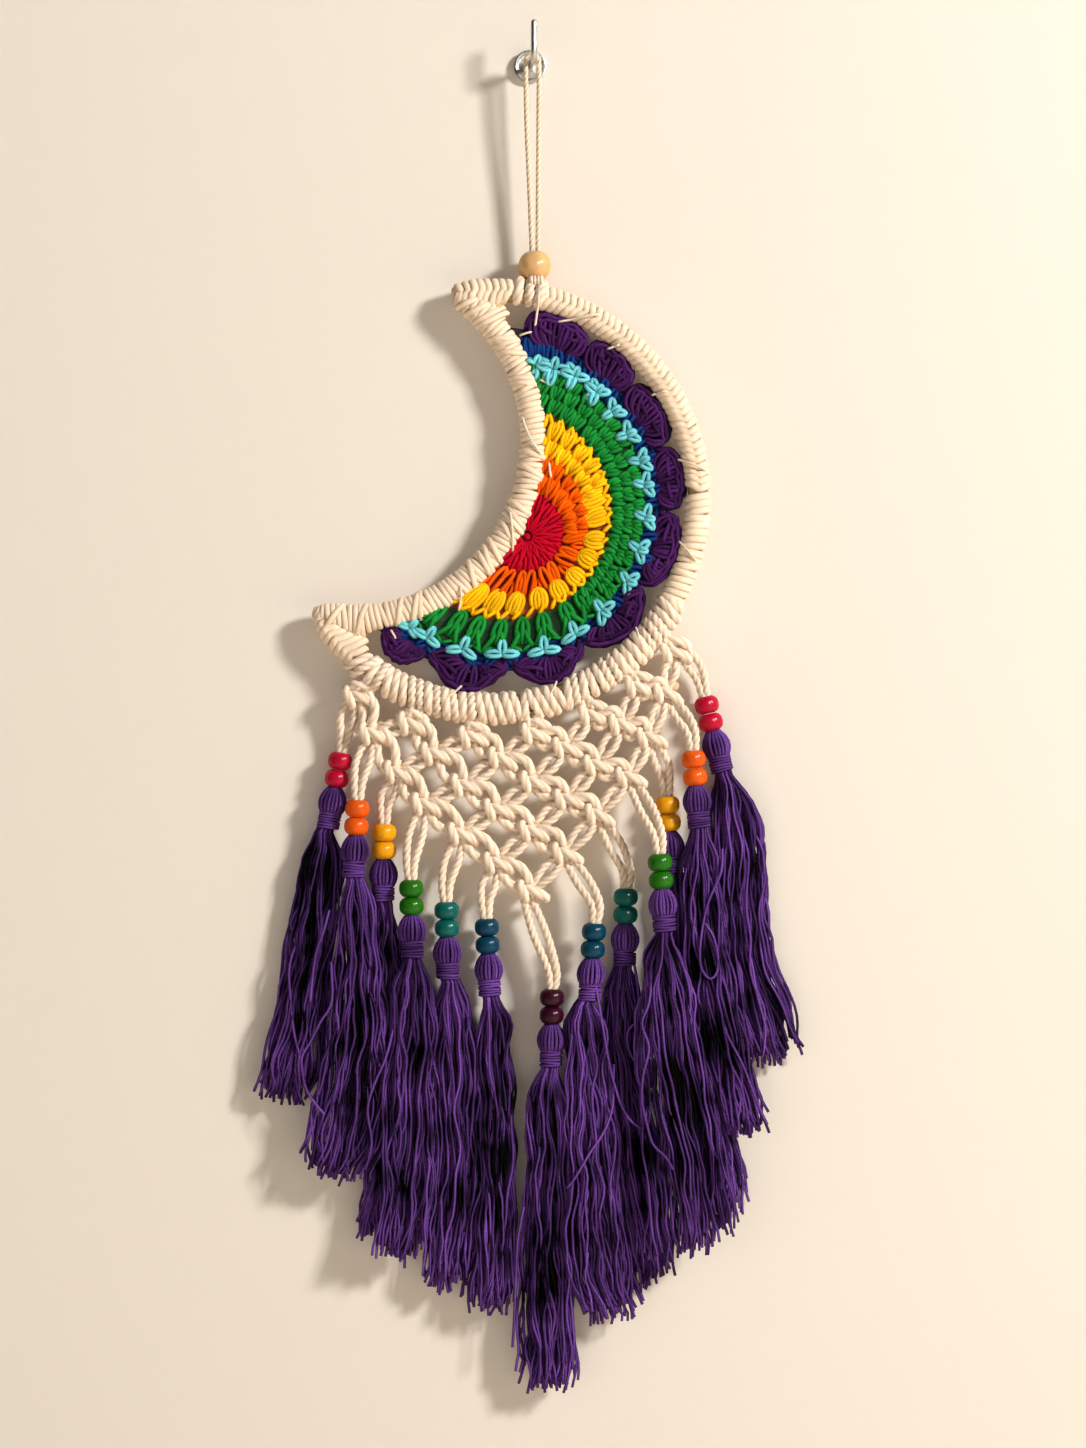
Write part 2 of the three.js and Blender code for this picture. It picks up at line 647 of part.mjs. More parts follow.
// A lock of yarn is a three-sided prism, flat inside and pointed to the outside of the skirt
function lock(drop, top, long, { across, cut, row }) {
  const levels = [(SKIRT.hem - SKIRT.root) / long, 0.5, cut];
  const sections = levels.map((share, n) => {
    const here = skirtAt(drop, top, share);
    const spread = n ? 1 : LOCK.gather;
    const x = here.x + across * spread * here.wide;
    const y = -here.depth + row.depth * spread * here.deep;
    const halfWidth = LOCK.halfWidth * spread * here.wide - LOCK.gap / 2;
    const halfDepth = LOCK.halfDepth * spread * here.deep * row.point;
    return [
      new THREE.Vector3(x - halfWidth, y - halfDepth * LOCK.flat, here.z),
      new THREE.Vector3(x + halfWidth, y - halfDepth * LOCK.flat, here.z),
      new THREE.Vector3(x, y + halfDepth, here.z),
    ];
  });
  return loft(sections);
}

function tassel(drop, number) {
  const neckEnd = 2 * (BEAD.height + CLEARANCE) + TASSEL.headLength + TASSEL.neckLength;
  const top = dropPoint(drop, neckEnd);
  const long = top.z - drop.tipZ;
  const pieces = [tasselHead(drop, skirtAt(drop, top, SKIRT.hem / long))];
  LOCK_ROWS.forEach((row, r) => {
    for (let i = 0; i < row.count; i++) {
      const across = ((2 * i) / (row.count - 1) - 1) * row.reach;
      const wave = Math.sin(number * 2.1 + i * 1.7 + r * 2.9);
      const cut = 1 - (LOCK.uneven / long) * (0.5 + 0.5 * wave);
      pieces.push(lock(drop, top, long, { across, cut, row }));
    }
  });
  return fuse(pieces);
}

DROPS.forEach((drop, i) => {
  addPiece(`tassel_${drop.name}`, tassel(drop, i), TASSEL.colour);
});

// Hanging loop: one doubled twine from the ring, up through the wooden bead and over the hook

const hookX = (depth) =>
  (HOOK.lean * Math.max(depth - PLATE.thickness, 0)) / (HOOK.reach - PLATE.thickness);

function hangingLoop() {
  const over = HOOK.wire + LOOP.radius + CLEARANCE;
  const top = hookX(LOOP.depth);
  const beadTop = WOOD_BEAD.z + WOOD_BEAD.height / 2;
  const leg = (sign) => {
    const at = (x, depth, z) => new THREE.Vector3(x, -depth, z);
    const low = WOOD_BEAD.x + sign * LOOP.lane;
    const high = top + sign * over;
    return [
      at(low, HANGING_DEPTH, LOOP.foot),
      at(low, HANGING_DEPTH, beadTop),
      ...LOOP.legs.map(({ up, out }) =>
        at(lerp(low, high, out), lerp(HANGING_DEPTH, LOOP.depth, out), beadTop * (1 - up)),
      ),
      at(high, LOOP.depth, LOOP.legTop),
    ];
  };
  const arch = [];
  const bow = over / Math.cos(Math.PI / LOOP.arch / 2); // its chords keep clear of the wire too
  for (let i = 0; i <= LOOP.arch; i++) {
    const turn = Math.PI * (1 - i / LOOP.arch);
    arch.push(
      new THREE.Vector3(top + bow * Math.cos(turn), -LOOP.depth, bow * Math.sin(turn)),
    );
  }
  const route = [...leg(-1), ...arch, ...leg(1).reverse()];
  return strand(route, route.map(() => LOOP.radius), LOOP.sides);
}

addPiece('hanging_loop', hangingLoop(), TWINE);

const woodBead = addPiece('wooden_bead', beadGeometry(WOOD_BEAD), WOOD, 0.4);
woodBead.position.set(WOOD_BEAD.x, -HANGING_DEPTH, WOOD_BEAD.z);

// Hook: a round plate against the wall and a bent wire that rises in front of it

function hookPlate() {
  const { radius, thickness, rim, flat, back } = PLATE;
  const bore = HOOK.wire + CLEARANCE * 2;
  const profile = [
    [0, 0],
    [radius, 0],
    [radius, rim],
    [flat, thickness],
    [bore, thickness],
    [bore, back],
    [0, back],
  ].map(([across, along]) => new THREE.Vector2(across, along));
  return new THREE.LatheGeometry(profile, PLATE.segments).rotateX(Math.PI);
}

function hookWire() {
  const { reach, bend, tip } = HOOK;
  const diagonal = bend * (1 - Math.SQRT1_2);
  const route = [
    [PLATE.back + CLEARANCE * 1.5, 0],
    [PLATE.thickness + 1, 0],
    [(reach - bend) / 2, 0],
    [reach - bend, 0],
    [reach - diagonal, diagonal],
    [reach, bend],
    [reach, (bend + tip) / 2],
    [reach, tip],
  ].map(([depth, z]) => new THREE.Vector3(hookX(depth), -depth, z));
  const curve = new THREE.CatmullRomCurve3(route, false, 'centripetal');
  const section = new THREE.Shape();
  section.absarc(0, 0, HOOK.wire, 0, TURN);
  return new THREE.ExtrudeGeometry(section, {
    steps: HOOK.steps,
    curveSegments: HOOK.corners,
    extrudePath: curve,
  });
}

addPiece('hook_plate', hookPlate(), STEEL, 0.35, 0.9);
addPiece('hook_wire', hookWire(), STEEL, 0.3, 0.9);

export default dreamcatcher;
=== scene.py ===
# Crescent moon dreamcatcher: wrapped ring, crochet panel, macrame net and beaded tassels
import math
import random

import bpy
import numpy as np
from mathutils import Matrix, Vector


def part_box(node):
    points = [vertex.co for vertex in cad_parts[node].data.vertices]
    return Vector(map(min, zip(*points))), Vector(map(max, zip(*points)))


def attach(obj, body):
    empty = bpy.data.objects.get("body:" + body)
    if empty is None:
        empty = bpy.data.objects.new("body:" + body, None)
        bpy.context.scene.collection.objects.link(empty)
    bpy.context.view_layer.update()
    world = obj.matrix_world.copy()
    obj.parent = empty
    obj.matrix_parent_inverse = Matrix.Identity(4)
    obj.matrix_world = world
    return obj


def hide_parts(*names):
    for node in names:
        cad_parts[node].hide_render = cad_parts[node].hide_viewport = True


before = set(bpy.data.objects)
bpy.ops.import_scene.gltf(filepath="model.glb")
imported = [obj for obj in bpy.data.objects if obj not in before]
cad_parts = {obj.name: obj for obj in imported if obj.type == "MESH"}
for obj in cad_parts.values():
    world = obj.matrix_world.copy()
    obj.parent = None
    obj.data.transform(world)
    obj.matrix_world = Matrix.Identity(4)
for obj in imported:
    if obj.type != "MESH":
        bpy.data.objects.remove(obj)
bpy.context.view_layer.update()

# Camera: square on to the hanging and level with its middle, far enough away that the tassels and
# the hook are seen nearly from the front. Sizes below are millimetres.
MM = 0.001
CAMERA = {"x": 6.4, "z": -323.9, "distance": 1600, "view_height": 709.5}
HANGING_DEPTH = 10  # from the back of the hook's plate to the middle of the ring, the panel and the net


def put_in_scene(name, data):
    made = bpy.data.objects.new(name, data)
    bpy.context.collection.objects.link(made)
    return made


camera_data = bpy.data.cameras.new("camera")
camera_data.sensor_fit = "VERTICAL"
camera_data.lens = camera_data.sensor_height * CAMERA["distance"] / CAMERA["view_height"]
camera = put_in_scene("camera", camera_data)
camera.location = (CAMERA["x"] * MM, -(HANGING_DEPTH + CAMERA["distance"]) * MM, CAMERA["z"] * MM)
camera.rotation_euler = (math.radians(90), 0, 0)
bpy.context.scene.camera = camera

# Hanging twine: one length of thin three-ply cotton twine, doubled. It comes out of the ring's top,
# goes up through the wooden bead, opens over the hook's wire and comes back down.
TWINE = {"radius": 1.25, "length": 225, "turns_per_mm": 0.11, "step": 0.7}
TWINE_ROUTE = [  # across, depth in front of the plate's back, height
    (0.95, 10, -107.4), (0.95, 10, -100), (0.95, 10, -92.2), (-0.1, 11.2, -64.5), (-1.66, 13, -27.7),
    (-1.95, 14, -3), (-1.65, 14, 1.3), (-0.3, 14, 2.8), (1.25, 14, 3.2), (2.8, 14, 2.8),
    (4.15, 14, 1.3), (4.45, 14, -3), (4.3, 13, -27.7), (4.0, 11.2, -64.5), (3.85, 10, -92.2),
    (3.85, 10, -100), (3.85, 10, -107.4),
]
TURN = 2 * math.pi
FRONT = np.array([0.0, -1.0, 0.0])


def smooth_line(points, step):
    """Points about a step apart on a smooth curve through the given ones"""
    given = np.asarray(points, float)
    ends = np.vstack([2 * given[0] - given[1], given, 2 * given[-1] - given[-2]])
    line = []
    for a, b, c, d in zip(ends, ends[1:], ends[2:], ends[3:]):
        count = max(1, round(float(np.linalg.norm(c - b)) / step))
        t = np.linspace(0, 1, count, endpoint=False)[:, None]
        curve = 2 * b + (c - a) * t + (2 * a - 5 * b + 4 * c - d) * t**2
        line.append(0.5 * (curve + (3 * b - a - 3 * c + d) * t**3))
    line.append(given[-1:])
    return np.vstack(line)


def ply_section(plies, corners, valley):
    """A rope's section: corners points for each ply, the first of them in the valley between two"""
    count = plies * corners
    return np.array([(i / count, valley if i % corners == 0 else 1.0) for i in range(count)])


def round_section(corners):
    return np.array([(i / corners, 1.0) for i in range(corners)])


ROPE = ply_section(3, 3, 0.8)
ROPE_LAY = 12  # millimetres for a whole turn of the thick cord's plies
SOFT_ROPE = ply_section(3, 3, 0.9)  # the same cord pulled or squeezed smooth, where its twist hardly shows
SOFT_LAY = 20
ROUND_5, ROUND_6, ROUND_8 = (round_section(corners) for corners in (5, 6, 8))


class Strands:
    """Cords, yarns or threads that make one piece, each swept along its own line"""

    def __init__(self):
        self.places, self.faces, self.corners, self.tones = [], [], [], []
        self.count = 0

    def lay(self, line, radius, section=ROUND_6, turns=0.0, flat=1.0, out=FRONT, closed=False, tone=0.5):
        """turns is the rope's twist for each millimetre; flat squeezes the section along out"""
        line = np.asarray(line, float)
        n, m = len(line), len(section)
        if closed:
            along = np.roll(line, -1, axis=0) - np.roll(line, 1, axis=0)
        else:
            along = np.gradient(line, axis=0)
        along /= np.linalg.norm(along, axis=1)[:, None]
        outward = np.broadcast_to(out, (n, 3)).astype(float).copy()
        carried = outward[0]
        for i in range(n):
            if np.ndim(out) == 2:
                carried = outward[i]
            carried = carried - along[i] * (carried @ along[i])
            carried = carried / math.sqrt(carried @ carried)
            outward[i] = carried
        across = np.cross(outward, along)
        closing = [line[:1]] if closed else []
        run = np.linalg.norm(np.diff(np.vstack([line] + closing), axis=0), axis=1)
        run = np.concatenate([[0], np.cumsum(run)])
        angle = (section[:, 0][None] + run[:n, None] * turns) * TURN
        reach = section[:, 1][None] * np.broadcast_to(radius, n)[:, None]
        rings = line[:, None] + across[:, None] * (reach * np.cos(angle))[..., None]
        rings = rings + outward[:, None] * (reach * flat * np.sin(angle))[..., None]
        rows = n if closed else n - 1
        i, j = (grid.ravel() for grid in np.meshgrid(range(rows), range(m), indexing="ij"))
        i_next, j_next = (i + 1) % n, (j + 1) % m
        quads = np.stack([i * m + j, i * m + j_next, i_next * m + j_next, i_next * m + j], axis=1)
        self.faces += (quads + self.count).tolist()
        around = np.append(section[:, 0], 1.0)
        u, u_next, v, v_next = run[i], run[i + 1], around[j], around[j + 1]
        at = np.stack([u, v, u, v_next, u_next, v_next, u_next, v], axis=1)
        self.corners.append(at.reshape(-1, 2))
        if not closed:
            last = self.count + (n - 1) * m
            self.faces += [list(range(self.count + m - 1, self.count - 1, -1)), list(range(last, last + m))]
            self.corners.append(np.zeros((2 * m, 2)))
        self.places.append(rings.reshape(-1, 3))
        self.tones.append(np.repeat(np.broadcast_to(tone, n), m))
        self.count += n * m

    def make(self, name, material, slot, nodes=()):
        mesh = bpy.data.meshes.new(name)
        mesh.from_pydata((np.concatenate(self.places) * MM).tolist(), [], self.faces)
        mesh.uv_layers.new(name="yarn").data.foreach_set("uv", np.concatenate(self.corners).ravel())
        mesh.attributes.new("tone", "FLOAT", "POINT").data.foreach_set("value", np.concatenate(self.tones))
        mesh.shade_smooth()
        mesh.materials.append(material)
        return fit(put_in_scene(name, mesh), nodes)


def fit(piece, nodes=()):
    """The whole hanging is one body, so every piece rides on it"""
    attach(piece, "root")
    if nodes:
        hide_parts(*nodes)
    return piece


def linear(colour):
    """A six-digit sRGB colour as linear RGBA"""
    shares = [((colour >> shift) & 255) / 255 for shift in (16, 8, 0)]
    return tuple(s / 12.92 if s < 0.04 else ((s + 0.055) / 1.055) ** 2.4 for s in shares) + (1.0,)


def node(tree, kind, inputs=None, **settings):
    """A shader node, with its inputs linked to sockets or set to values"""
    made = tree.nodes.new("ShaderNode" + kind)
    for key, value in settings.items():
        setattr(made, key, value)
    for key, value in (inputs or {}).items():
        if isinstance(value, bpy.types.NodeSocket):
            tree.links.new(value, made.inputs[key])
        else:
            made.inputs[key].default_value = value
    return made


def maths(tree, operation, a, b=0.0):
    return node(tree, "Math", {0: a, 1: b}, operation=operation).outputs[0]


def mix_colours(tree, share, first, second):
    return node(tree, "Mix", {0: share, 6: first, 7: second}, data_type="RGBA").outputs[2]


def empty_material(name):
    """A new material and its node tree, with nothing in it yet"""
    material = bpy.data.materials.new(name)
    material.use_nodes = True
    material.node_tree.nodes.clear()
    return material, material.node_tree


def put_on_surface(tree, shader):
    tree.links.new(shader, node(tree, "OutputMaterial").inputs[0])


def stripes(tree, place, lines, per_mm):
    """Bright in the middle of each line and 0 between two; lines run along the yarn and turn round it"""
    around, along = maths(tree, "MULTIPLY", place["Y"], lines), maths(tree, "MULTIPLY", place["X"], per_mm)
    phase = maths(tree, "ADD", around, along)
    return maths(tree, "ABSOLUTE", maths(tree, "SINE", maths(tree, "MULTIPLY", phase, math.pi)))


def twisted_yarn_group():
    """Yarn spun from plies: painted shade in dark lines between them and between the finer threads
    in each, and uneven dye
    """
    group = bpy.data.node_groups.new("twisted_yarn", "ShaderNodeTree")
    for name, kind in [
        ("Colour", "Color"), ("Shade", "Color"), ("Shade lines", "Float"), ("Plies per mm", "Float"),
        ("Threads", "Float"), ("Threads per mm", "Float"), ("Uneven dye", "Float"), ("Groove", "Float"),
    ]:
        group.interface.new_socket(name, in_out="INPUT", socket_type="NodeSocket" + kind)
    group.interface.new_socket("Colour", in_out="OUTPUT", socket_type="NodeSocketColor")
    group.interface.new_socket("Height", in_out="OUTPUT", socket_type="NodeSocketFloat")
    given = group.nodes.new("NodeGroupInput").outputs
    place = node(group, "SeparateXYZ", {0: node(group, "UVMap").outputs[0]}).outputs
    ply = stripes(group, place, given["Shade lines"], given["Plies per mm"])
    ply = maths(group, "POWER", ply, given["Groove"])
    thread = stripes(group, place, given["Threads"], given["Threads per mm"])
    spot = node(group, "TexCoord").outputs["Object"]
    fibre = node(group, "TexNoise", {"Vector": spot, "Scale": 1500.0, "Detail": 3.0}).outputs["Fac"]
    dye_and_shade = node(group, "TexNoise", {"Vector": spot, "Scale": 45.0, "Detail": 2.0}).outputs["Fac"]
    # tone differs at random from yarn to yarn; in the tassels it also carries painted shade
    tone = node(group, "Attribute", attribute_name="tone").outputs["Fac"]
    fine = maths(group, "ADD", maths(group, "MULTIPLY", thread, 0.3), maths(group, "MULTIPLY", fibre, 0.55))
    light = maths(group, "MULTIPLY", ply, maths(group, "ADD", fine, 0.42))
    # Painted shade: the Shade colour fills the lines between the plies and between the threads
    mixed = mix_colours(group, light, given["Shade"], given["Colour"])
    uneven = maths(group, "ADD", maths(group, "SUBTRACT", dye_and_shade, 0.5), maths(group, "SUBTRACT", tone, 0.5))
    bright = maths(group, "ADD", 1.0, maths(group, "MULTIPLY", uneven, given["Uneven dye"]))
    dyed = node(group, "VectorMath", {0: mixed, "Scale": bright}, operation="SCALE").outputs[0]
    put_out = group.nodes.new("NodeGroupOutput")
    group.links.new(dyed, put_out.inputs["Colour"])
    group.links.new(maths(group, "ADD", maths(group, "MULTIPLY", ply, 0.6), fine), put_out.inputs["Height"])
    return group


TWISTED_YARN = twisted_yarn_group()


def yarn_material(name, colour, shade, plies, threads, dye_and_shade=0.25, bump=0.5, gloss=0.04, groove=0.55):
    """colour on the yarn and shade painted in its grooves; plies and threads are how many of their lines
    go round it, and how many more pass on each millimetre for the twist. Two ply lines that don't
    twist lie along the yarn's sides, as painted shade there; a larger groove widens the shade."""
    material, tree = empty_material(name)
    yarn = node(tree, "Group", {
        "Colour": linear(colour), "Shade": linear(shade), "Uneven dye": dye_and_shade, "Groove": groove,
        "Shade lines": plies[0], "Plies per mm": plies[1], "Threads": threads[0], "Threads per mm": threads[1],
    }, node_tree=TWISTED_YARN)
    relief = node(tree, "Bump", {"Strength": bump, "Distance": 0.0004, "Height": yarn.outputs["Height"]})
    shader = node(tree, "BsdfPrincipled", {
        "Base Color": yarn.outputs["Colour"],
        "Normal": relief.outputs[0],
        "Roughness": 0.8,
        "Specular IOR Level": gloss,
    })
    put_on_surface(tree, shader.outputs[0])
    return material


# The twine's second colour is painted shade, in the lines between its plies
twine_look = yarn_material("cotton_twine", 0xFAE8D0, 0xA88A62, (3, 0), (12, 1.0))
twine_line = smooth_line([(x, -depth, z) for x, depth, z in TWINE_ROUTE], TWINE["step"])
twine = Strands()
twine.lay(twine_line, TWINE["radius"], ROPE, turns=TWINE["turns_per_mm"])
hanging_twine = twine.make("hanging_twine", twine_look, "twine", ["hanging_loop"])

# Wrapped ring: a bent steel crescent wound edge to edge with soft cotton cord. Toward both points
# the turns of its two arcs meet in the middle, and thick turns, which the net hangs from, cover its foot.
MOON = {"x": -19.3, "z": -213.5, "radius": 101.5}  # the circle of the outer arc
BITE = {"x": -85.3, "z": -184.7, "radius": 87.2}  # and of the hollow one
MOON_ENDS = (99, 84.5, -131.5, -146)  # degrees of each point, and of where the arcs part behind it
BITE_ENDS = (55, 38.5, -85.5, -102)
WRAP = {"pitch": 3.45, "bite_pitch": 2.7, "flat": 0.6, "reach": 5.4, "bite_reach": 5.8, "deep": 5.3}
WRAP_STEPS = 24
CROSSING_SHARE = 0.22  # of the hollow arc's turns have another laid over them aslant
BRAIDED = (2, 99)  # degrees of the outer arc where the turns meet in a herringbone
THICK = {"from": -29.5, "to": -131, "pitch": 4.3, "radius": 2.35, "reach": 6.4, "shift": 1.3}
THICK_LEANS = (-2.0, -0.6, 1.0, 2.2)
THICK_LEANS_AT_POINT = (-2.4, -1.2, 0.2)
COLLAR_ANGLES = (82.2, 79.2, 76.4)  # the thick turns that the twine is tied to
COLLAR = (74.9, 83.6)  # degrees that they take up
TIPS = [((99, 96), (55, 51.5)), ((-146, -143), (-102, -98.5))]  # the last degrees of both arcs
TIP_TURNS = [(-1.2, 4.1), (0.4, 3.2), (1.6, 1.9)]  # how far beyond a tip, and the turn's radius
JOINED = [((97, 85.2), (52.5, 39.5)), ((-144, -132.2), (-100, -86.5))]  # where the arcs share turns
CORE_RADIUS = 5.3


def heading(angle):
    """The way that an angle points, in the plane of the ring"""
    return np.array([math.cos(math.radians(angle)), 0, math.sin(math.radians(angle))])


def on_circle(circle, angle, radius=None):
    middle = np.array([circle["x"], -HANGING_DEPTH, circle["z"]])
    return middle + (circle["radius"] if radius is None else radius) * heading(angle)


def away_from(circle, point):
    out = point - np.array([circle["x"], point[1], circle["z"]])
    return out / np.linalg.norm(out)


def wrap_turn(strands, centre, outward, inner, outer, deep, lean, chevron=0.0, jog=0.0, **cord):
    """One turn of cord round the ring, an oval from inner to outer that leans along the ring. With a
    chevron its front is bent to a V, sunk a little at the bend, with one arm set on by jog."""
    forward = np.cross(FRONT, outward)
    turn = np.arange(WRAP_STEPS) / WRAP_STEPS * TURN
    side = np.cos(turn)
    reach = np.where(side > 0, outer, inner) * side
    sunk = 0.7 * bool(chevron) * np.exp(-((side / 0.22) ** 2))
    shift = lean * side + chevron * np.abs(side) + jog * (1 - np.tanh(5 * side)) / 2
    line = centre + outward * reach[:, None] + FRONT * ((deep - sunk) * np.sin(turn))[:, None]
    radial = outward * side[:, None] + FRONT * np.sin(turn)[:, None]
    strands.lay(line + forward * shift[:, None], out=radial, closed=True, **cord)


def ease(share):
    share = np.clip(share, 0, 1)
    return share**2 * (3 - 2 * share)


def horn_share(angle, ends):
    """0 at a point of the crescent, 1 where its two arcs part, more than 1 along a single arc"""
    top, top_open, low_open, low = ends
    return (top - angle) / (top - top_open) if angle > 0 else (angle - low) / (low_open - low)


def wind_arc(strands, circle, other, ends, spacing, reach):
    """The thin turns along one arc. Near a point, each reaches only to the middle between the arcs."""
    pitch = math.degrees(spacing / circle["radius"])
    for i in range(int((ends[0] - ends[3]) / pitch)):
        angle = ends[0] - (i + 0.7) * pitch
        if circle is MOON and (THICK["to"] < angle < THICK["from"] or COLLAR[0] < angle < COLLAR[1]):
            continue
        centre = on_circle(circle, angle)
        share = horn_share(angle, ends)
        away = away_from(circle, centre)
        gap = abs(np.linalg.norm(centre - on_circle(other, 0, 0)) - other["radius"])
        near = reach + (gap / 2 + 3 - reach) * (1 - ease((share - 0.72) / 0.3))
        far = reach * min(1, 0.68 + share * 0.9)
        braided = circle is MOON and (BRAIDED[0] < angle < BRAIDED[1] or angle < THICK["to"])
        crossed = circle is BITE and rng.random() < CROSSING_SHARE
        for over in (0, 1) if crossed else (0,):
            inner, outer = (near, far) if circle is MOON else (far, near)
            middle = centre + FRONT * rng.uniform(-0.12, 0.12)
            deep = WRAP["deep"] * min(1, 0.7 + share) * rng.uniform(0.97, 1.04) + 0.7 * over
            if braided:
                lean = rng.uniform(-0.3, 0.3)
            else:
                lean = rng.uniform(0.2, 1.7) - rng.uniform(2.5, 4.5) * over
            wrap_turn(
                strands, middle, away, inner + 0.5 * over, outer + 0.5 * over, deep, lean,
                chevron=rng.uniform(2.0, 2.6) if braided else 0.0,
                jog=spacing / 2 if braided else 0.0,
                radius=spacing * rng.uniform(0.56, 0.63),
                flat=WRAP["flat"],
                section=ROUND_8,
                tone=rng.random(),
            )


# The cord's second colour is painted shade along both sides of each turn
cord_look = yarn_material("cotton_cord", 0xF8E2C9, 0xA5825C, (2, 0), (16, 0.5), dye_and_shade=0.14)
# The core's cord is darker than the wrapping: painted shade where it shows between the turns
core_shade_look = yarn_material("ring_core_painted_shade", 0xC9AF88, 0x8A6E46, (2, 0), (16, 0.5))
rng = random.Random(7)
wraps = Strands()
wind_arc(wraps, MOON, BITE, MOON_ENDS, WRAP["pitch"], WRAP["reach"])
wind_arc(wraps, BITE, MOON, BITE_ENDS, WRAP["bite_pitch"], WRAP["bite_reach"])
for moon_ends, bite_ends in TIPS:
    tip = (on_circle(MOON, moon_ends[0]) + on_circle(BITE, bite_ends[0])) / 2
    along = tip - (on_circle(MOON, moon_ends[1]) + on_circle(BITE, bite_ends[1])) / 2
    along /= np.linalg.norm(along)
    for beyond, reach in TIP_TURNS:
        wrap_turn(
            wraps, tip + along * beyond, np.cross(along, FRONT), reach, reach, reach * 0.9, 0.4,
            radius=1.7, flat=WRAP["flat"], section=ROUND_8, tone=rng.random(),
        )
    wraps.lay([tip - along * 4, tip, tip + along * 1.6, tip + along * 2.4], [4, 3.6, 2, 0.6], ROUND_8)
wraps.make("ring_wrapping", cord_look, "cotton_cord", ["wrapped_ring"])

thick_turns = Strands()
pitch = math.degrees(THICK["pitch"] / MOON["radius"])
thick_angles = list(np.arange(THICK["from"], THICK["to"], -pitch)) + list(COLLAR_ANGLES)
group_lean = 0.0
for n, angle in enumerate(thick_angles):
    if rng.random() < 0.28:
        group_lean = rng.choice(THICK_LEANS_AT_POINT if angle < -110 else THICK_LEANS)
    centre = on_circle(MOON, angle + rng.uniform(-0.15, 0.15), MOON["radius"] + THICK["shift"])
    edge = 0.8 if n in (0, len(thick_angles) - len(COLLAR_ANGLES) - 1) else 1
    if angle > 0:
        edge, group_lean = 0.9, 0.2
    section, lay = (ROPE, ROPE_LAY) if rng.random() < 0.5 else (SOFT_ROPE, SOFT_LAY)
    wrap_turn(
        thick_turns, centre, away_from(MOON, centre),
        inner=THICK["reach"] * edge * rng.uniform(0.95, 1.05),
        outer=THICK["reach"] * edge * rng.uniform(0.95, 1.07),
        deep=THICK["reach"] * edge * rng.uniform(0.92, 1.02),
        lean=group_lean + rng.uniform(-0.5, 0.5),
        radius=THICK["radius"] * rng.uniform(0.9, 1.18),
        section=section,
        turns=1 / lay,
        flat=0.8,
        tone=rng.random(),
    )
for x in (0.6, 2.2, 3.9, 5.4):  # thin strands tied over the turns under the twine
    strand = [(x, -11, -104.6), (x + 0.1, -15, -105.8), (x + 0.2, -16.8, -107.4), (x + 0.2, -14, -109.4)]
    thick_turns.lay(smooth_line(strand, 0.8), 1.1, ROUND_6, tone=rng.random())
# The rope's second colour is painted shade, in the lines between its plies
rope_look = yarn_material(
    "cotton_rope", 0xFCEAD8, 0xCDAE8A, (3, 0), (24, 15 / ROPE_LAY), dye_and_shade=0.12, bump=0.6
)
thick_turns.make("ring_knot_turns", rope_look, "cotton_cord")

# Core: a darker cord along both arcs and across where they meet, under the turns; its colour is painted
# shade
core = Strands()
for circle, ends in ((MOON, MOON_ENDS), (BITE, BITE_ENDS)):
    line = [on_circle(circle, angle) for angle in np.linspace(ends[0] - 3, ends[3] + 3, 90)]
    core.lay(line, CORE_RADIUS - 0.6, ROUND_8, flat=0.95)
for moon_ends, bite_ends in JOINED:
    for share in (0.3, 0.5, 0.7):
        line = [
            on_circle(MOON, moon) * share + on_circle(BITE, bite) * (1 - share)
            for moon, bite in zip(np.linspace(*moon_ends, 8), np.linspace(*bite_ends, 8))
        ]
        core.lay(line, CORE_RADIUS * 0.85, ROUND_8)
core.make("ring_core_painted_shade", core_shade_look, "cotton_cord")

# Crochet panel: seven rounds of thick cotton yarn, worked outwards from a hub that the ring's hollow
# side cuts off. Each stitch stands a little proud, front and back, and its ends dive into the next round.
YARN_RADIUS = 1.15
# The circles that the hub and the rounds end at
HUB = {"x": -1.3, "z": -232.2, "radius": 0.8}
CRIMSON = {"x": -3.4, "z": -229.3, "radius": 21.1}
ORANGE = {"x": -7.8, "z": -224.9, "radius": 36.8}
YELLOW = {"x": -12.3, "z": -220.0, "radius": 52.4}
GREEN = {"x": -16.2, "z": -216.6, "radius": 72.0}
TURQUOISE = {"x": -16.7, "z": -216.1, "radius": 76.4}
NAVY = {"x": -17.2, "z": -215.6, "radius": 80.9}
RING_EDGE = BITE["radius"] + 4.5  # stitches are hidden by the wrapping inside this
SIDES_OF_CLOTH = ((1, 1.0, 1.5), (-1, 0.5, 2.4))  # front and back: direction, relief and step
# Each yarn's shade colour is painted shade: in the lines along its sides and between its threads, and on
# the cloth behind the stitches
CROCHET_YARNS = {  # colour, shade in the grooves, how uneven the dye is
    "crimson": (0xC40526, 0x4E000E, 0.35),
    "orange": (0xFA6200, 0x982000, 0.35),
    "yellow": (0xFFC410, 0xB85C00, 0.35),
    "green": (0x1B8E38, 0x083C14, 0.35),
    "turquoise": (0x76D0DA, 0x1A6676, 0.35),
    "navy": (0x103A80, 0x040824, 0.35),
    "purple": (0x421B54, 0x080110, 1.0),
}


def spot(inner, outer, angle, share, aside=0.0):
    """A place in a round: its share of the way from the inner circle to the outer one"""
    a, b = on_circle(inner, angle), on_circle(outer, angle)
    out = (b - a) / np.linalg.norm(b - a)
    return a + (b - a) * share + np.cross(out, FRONT) * aside


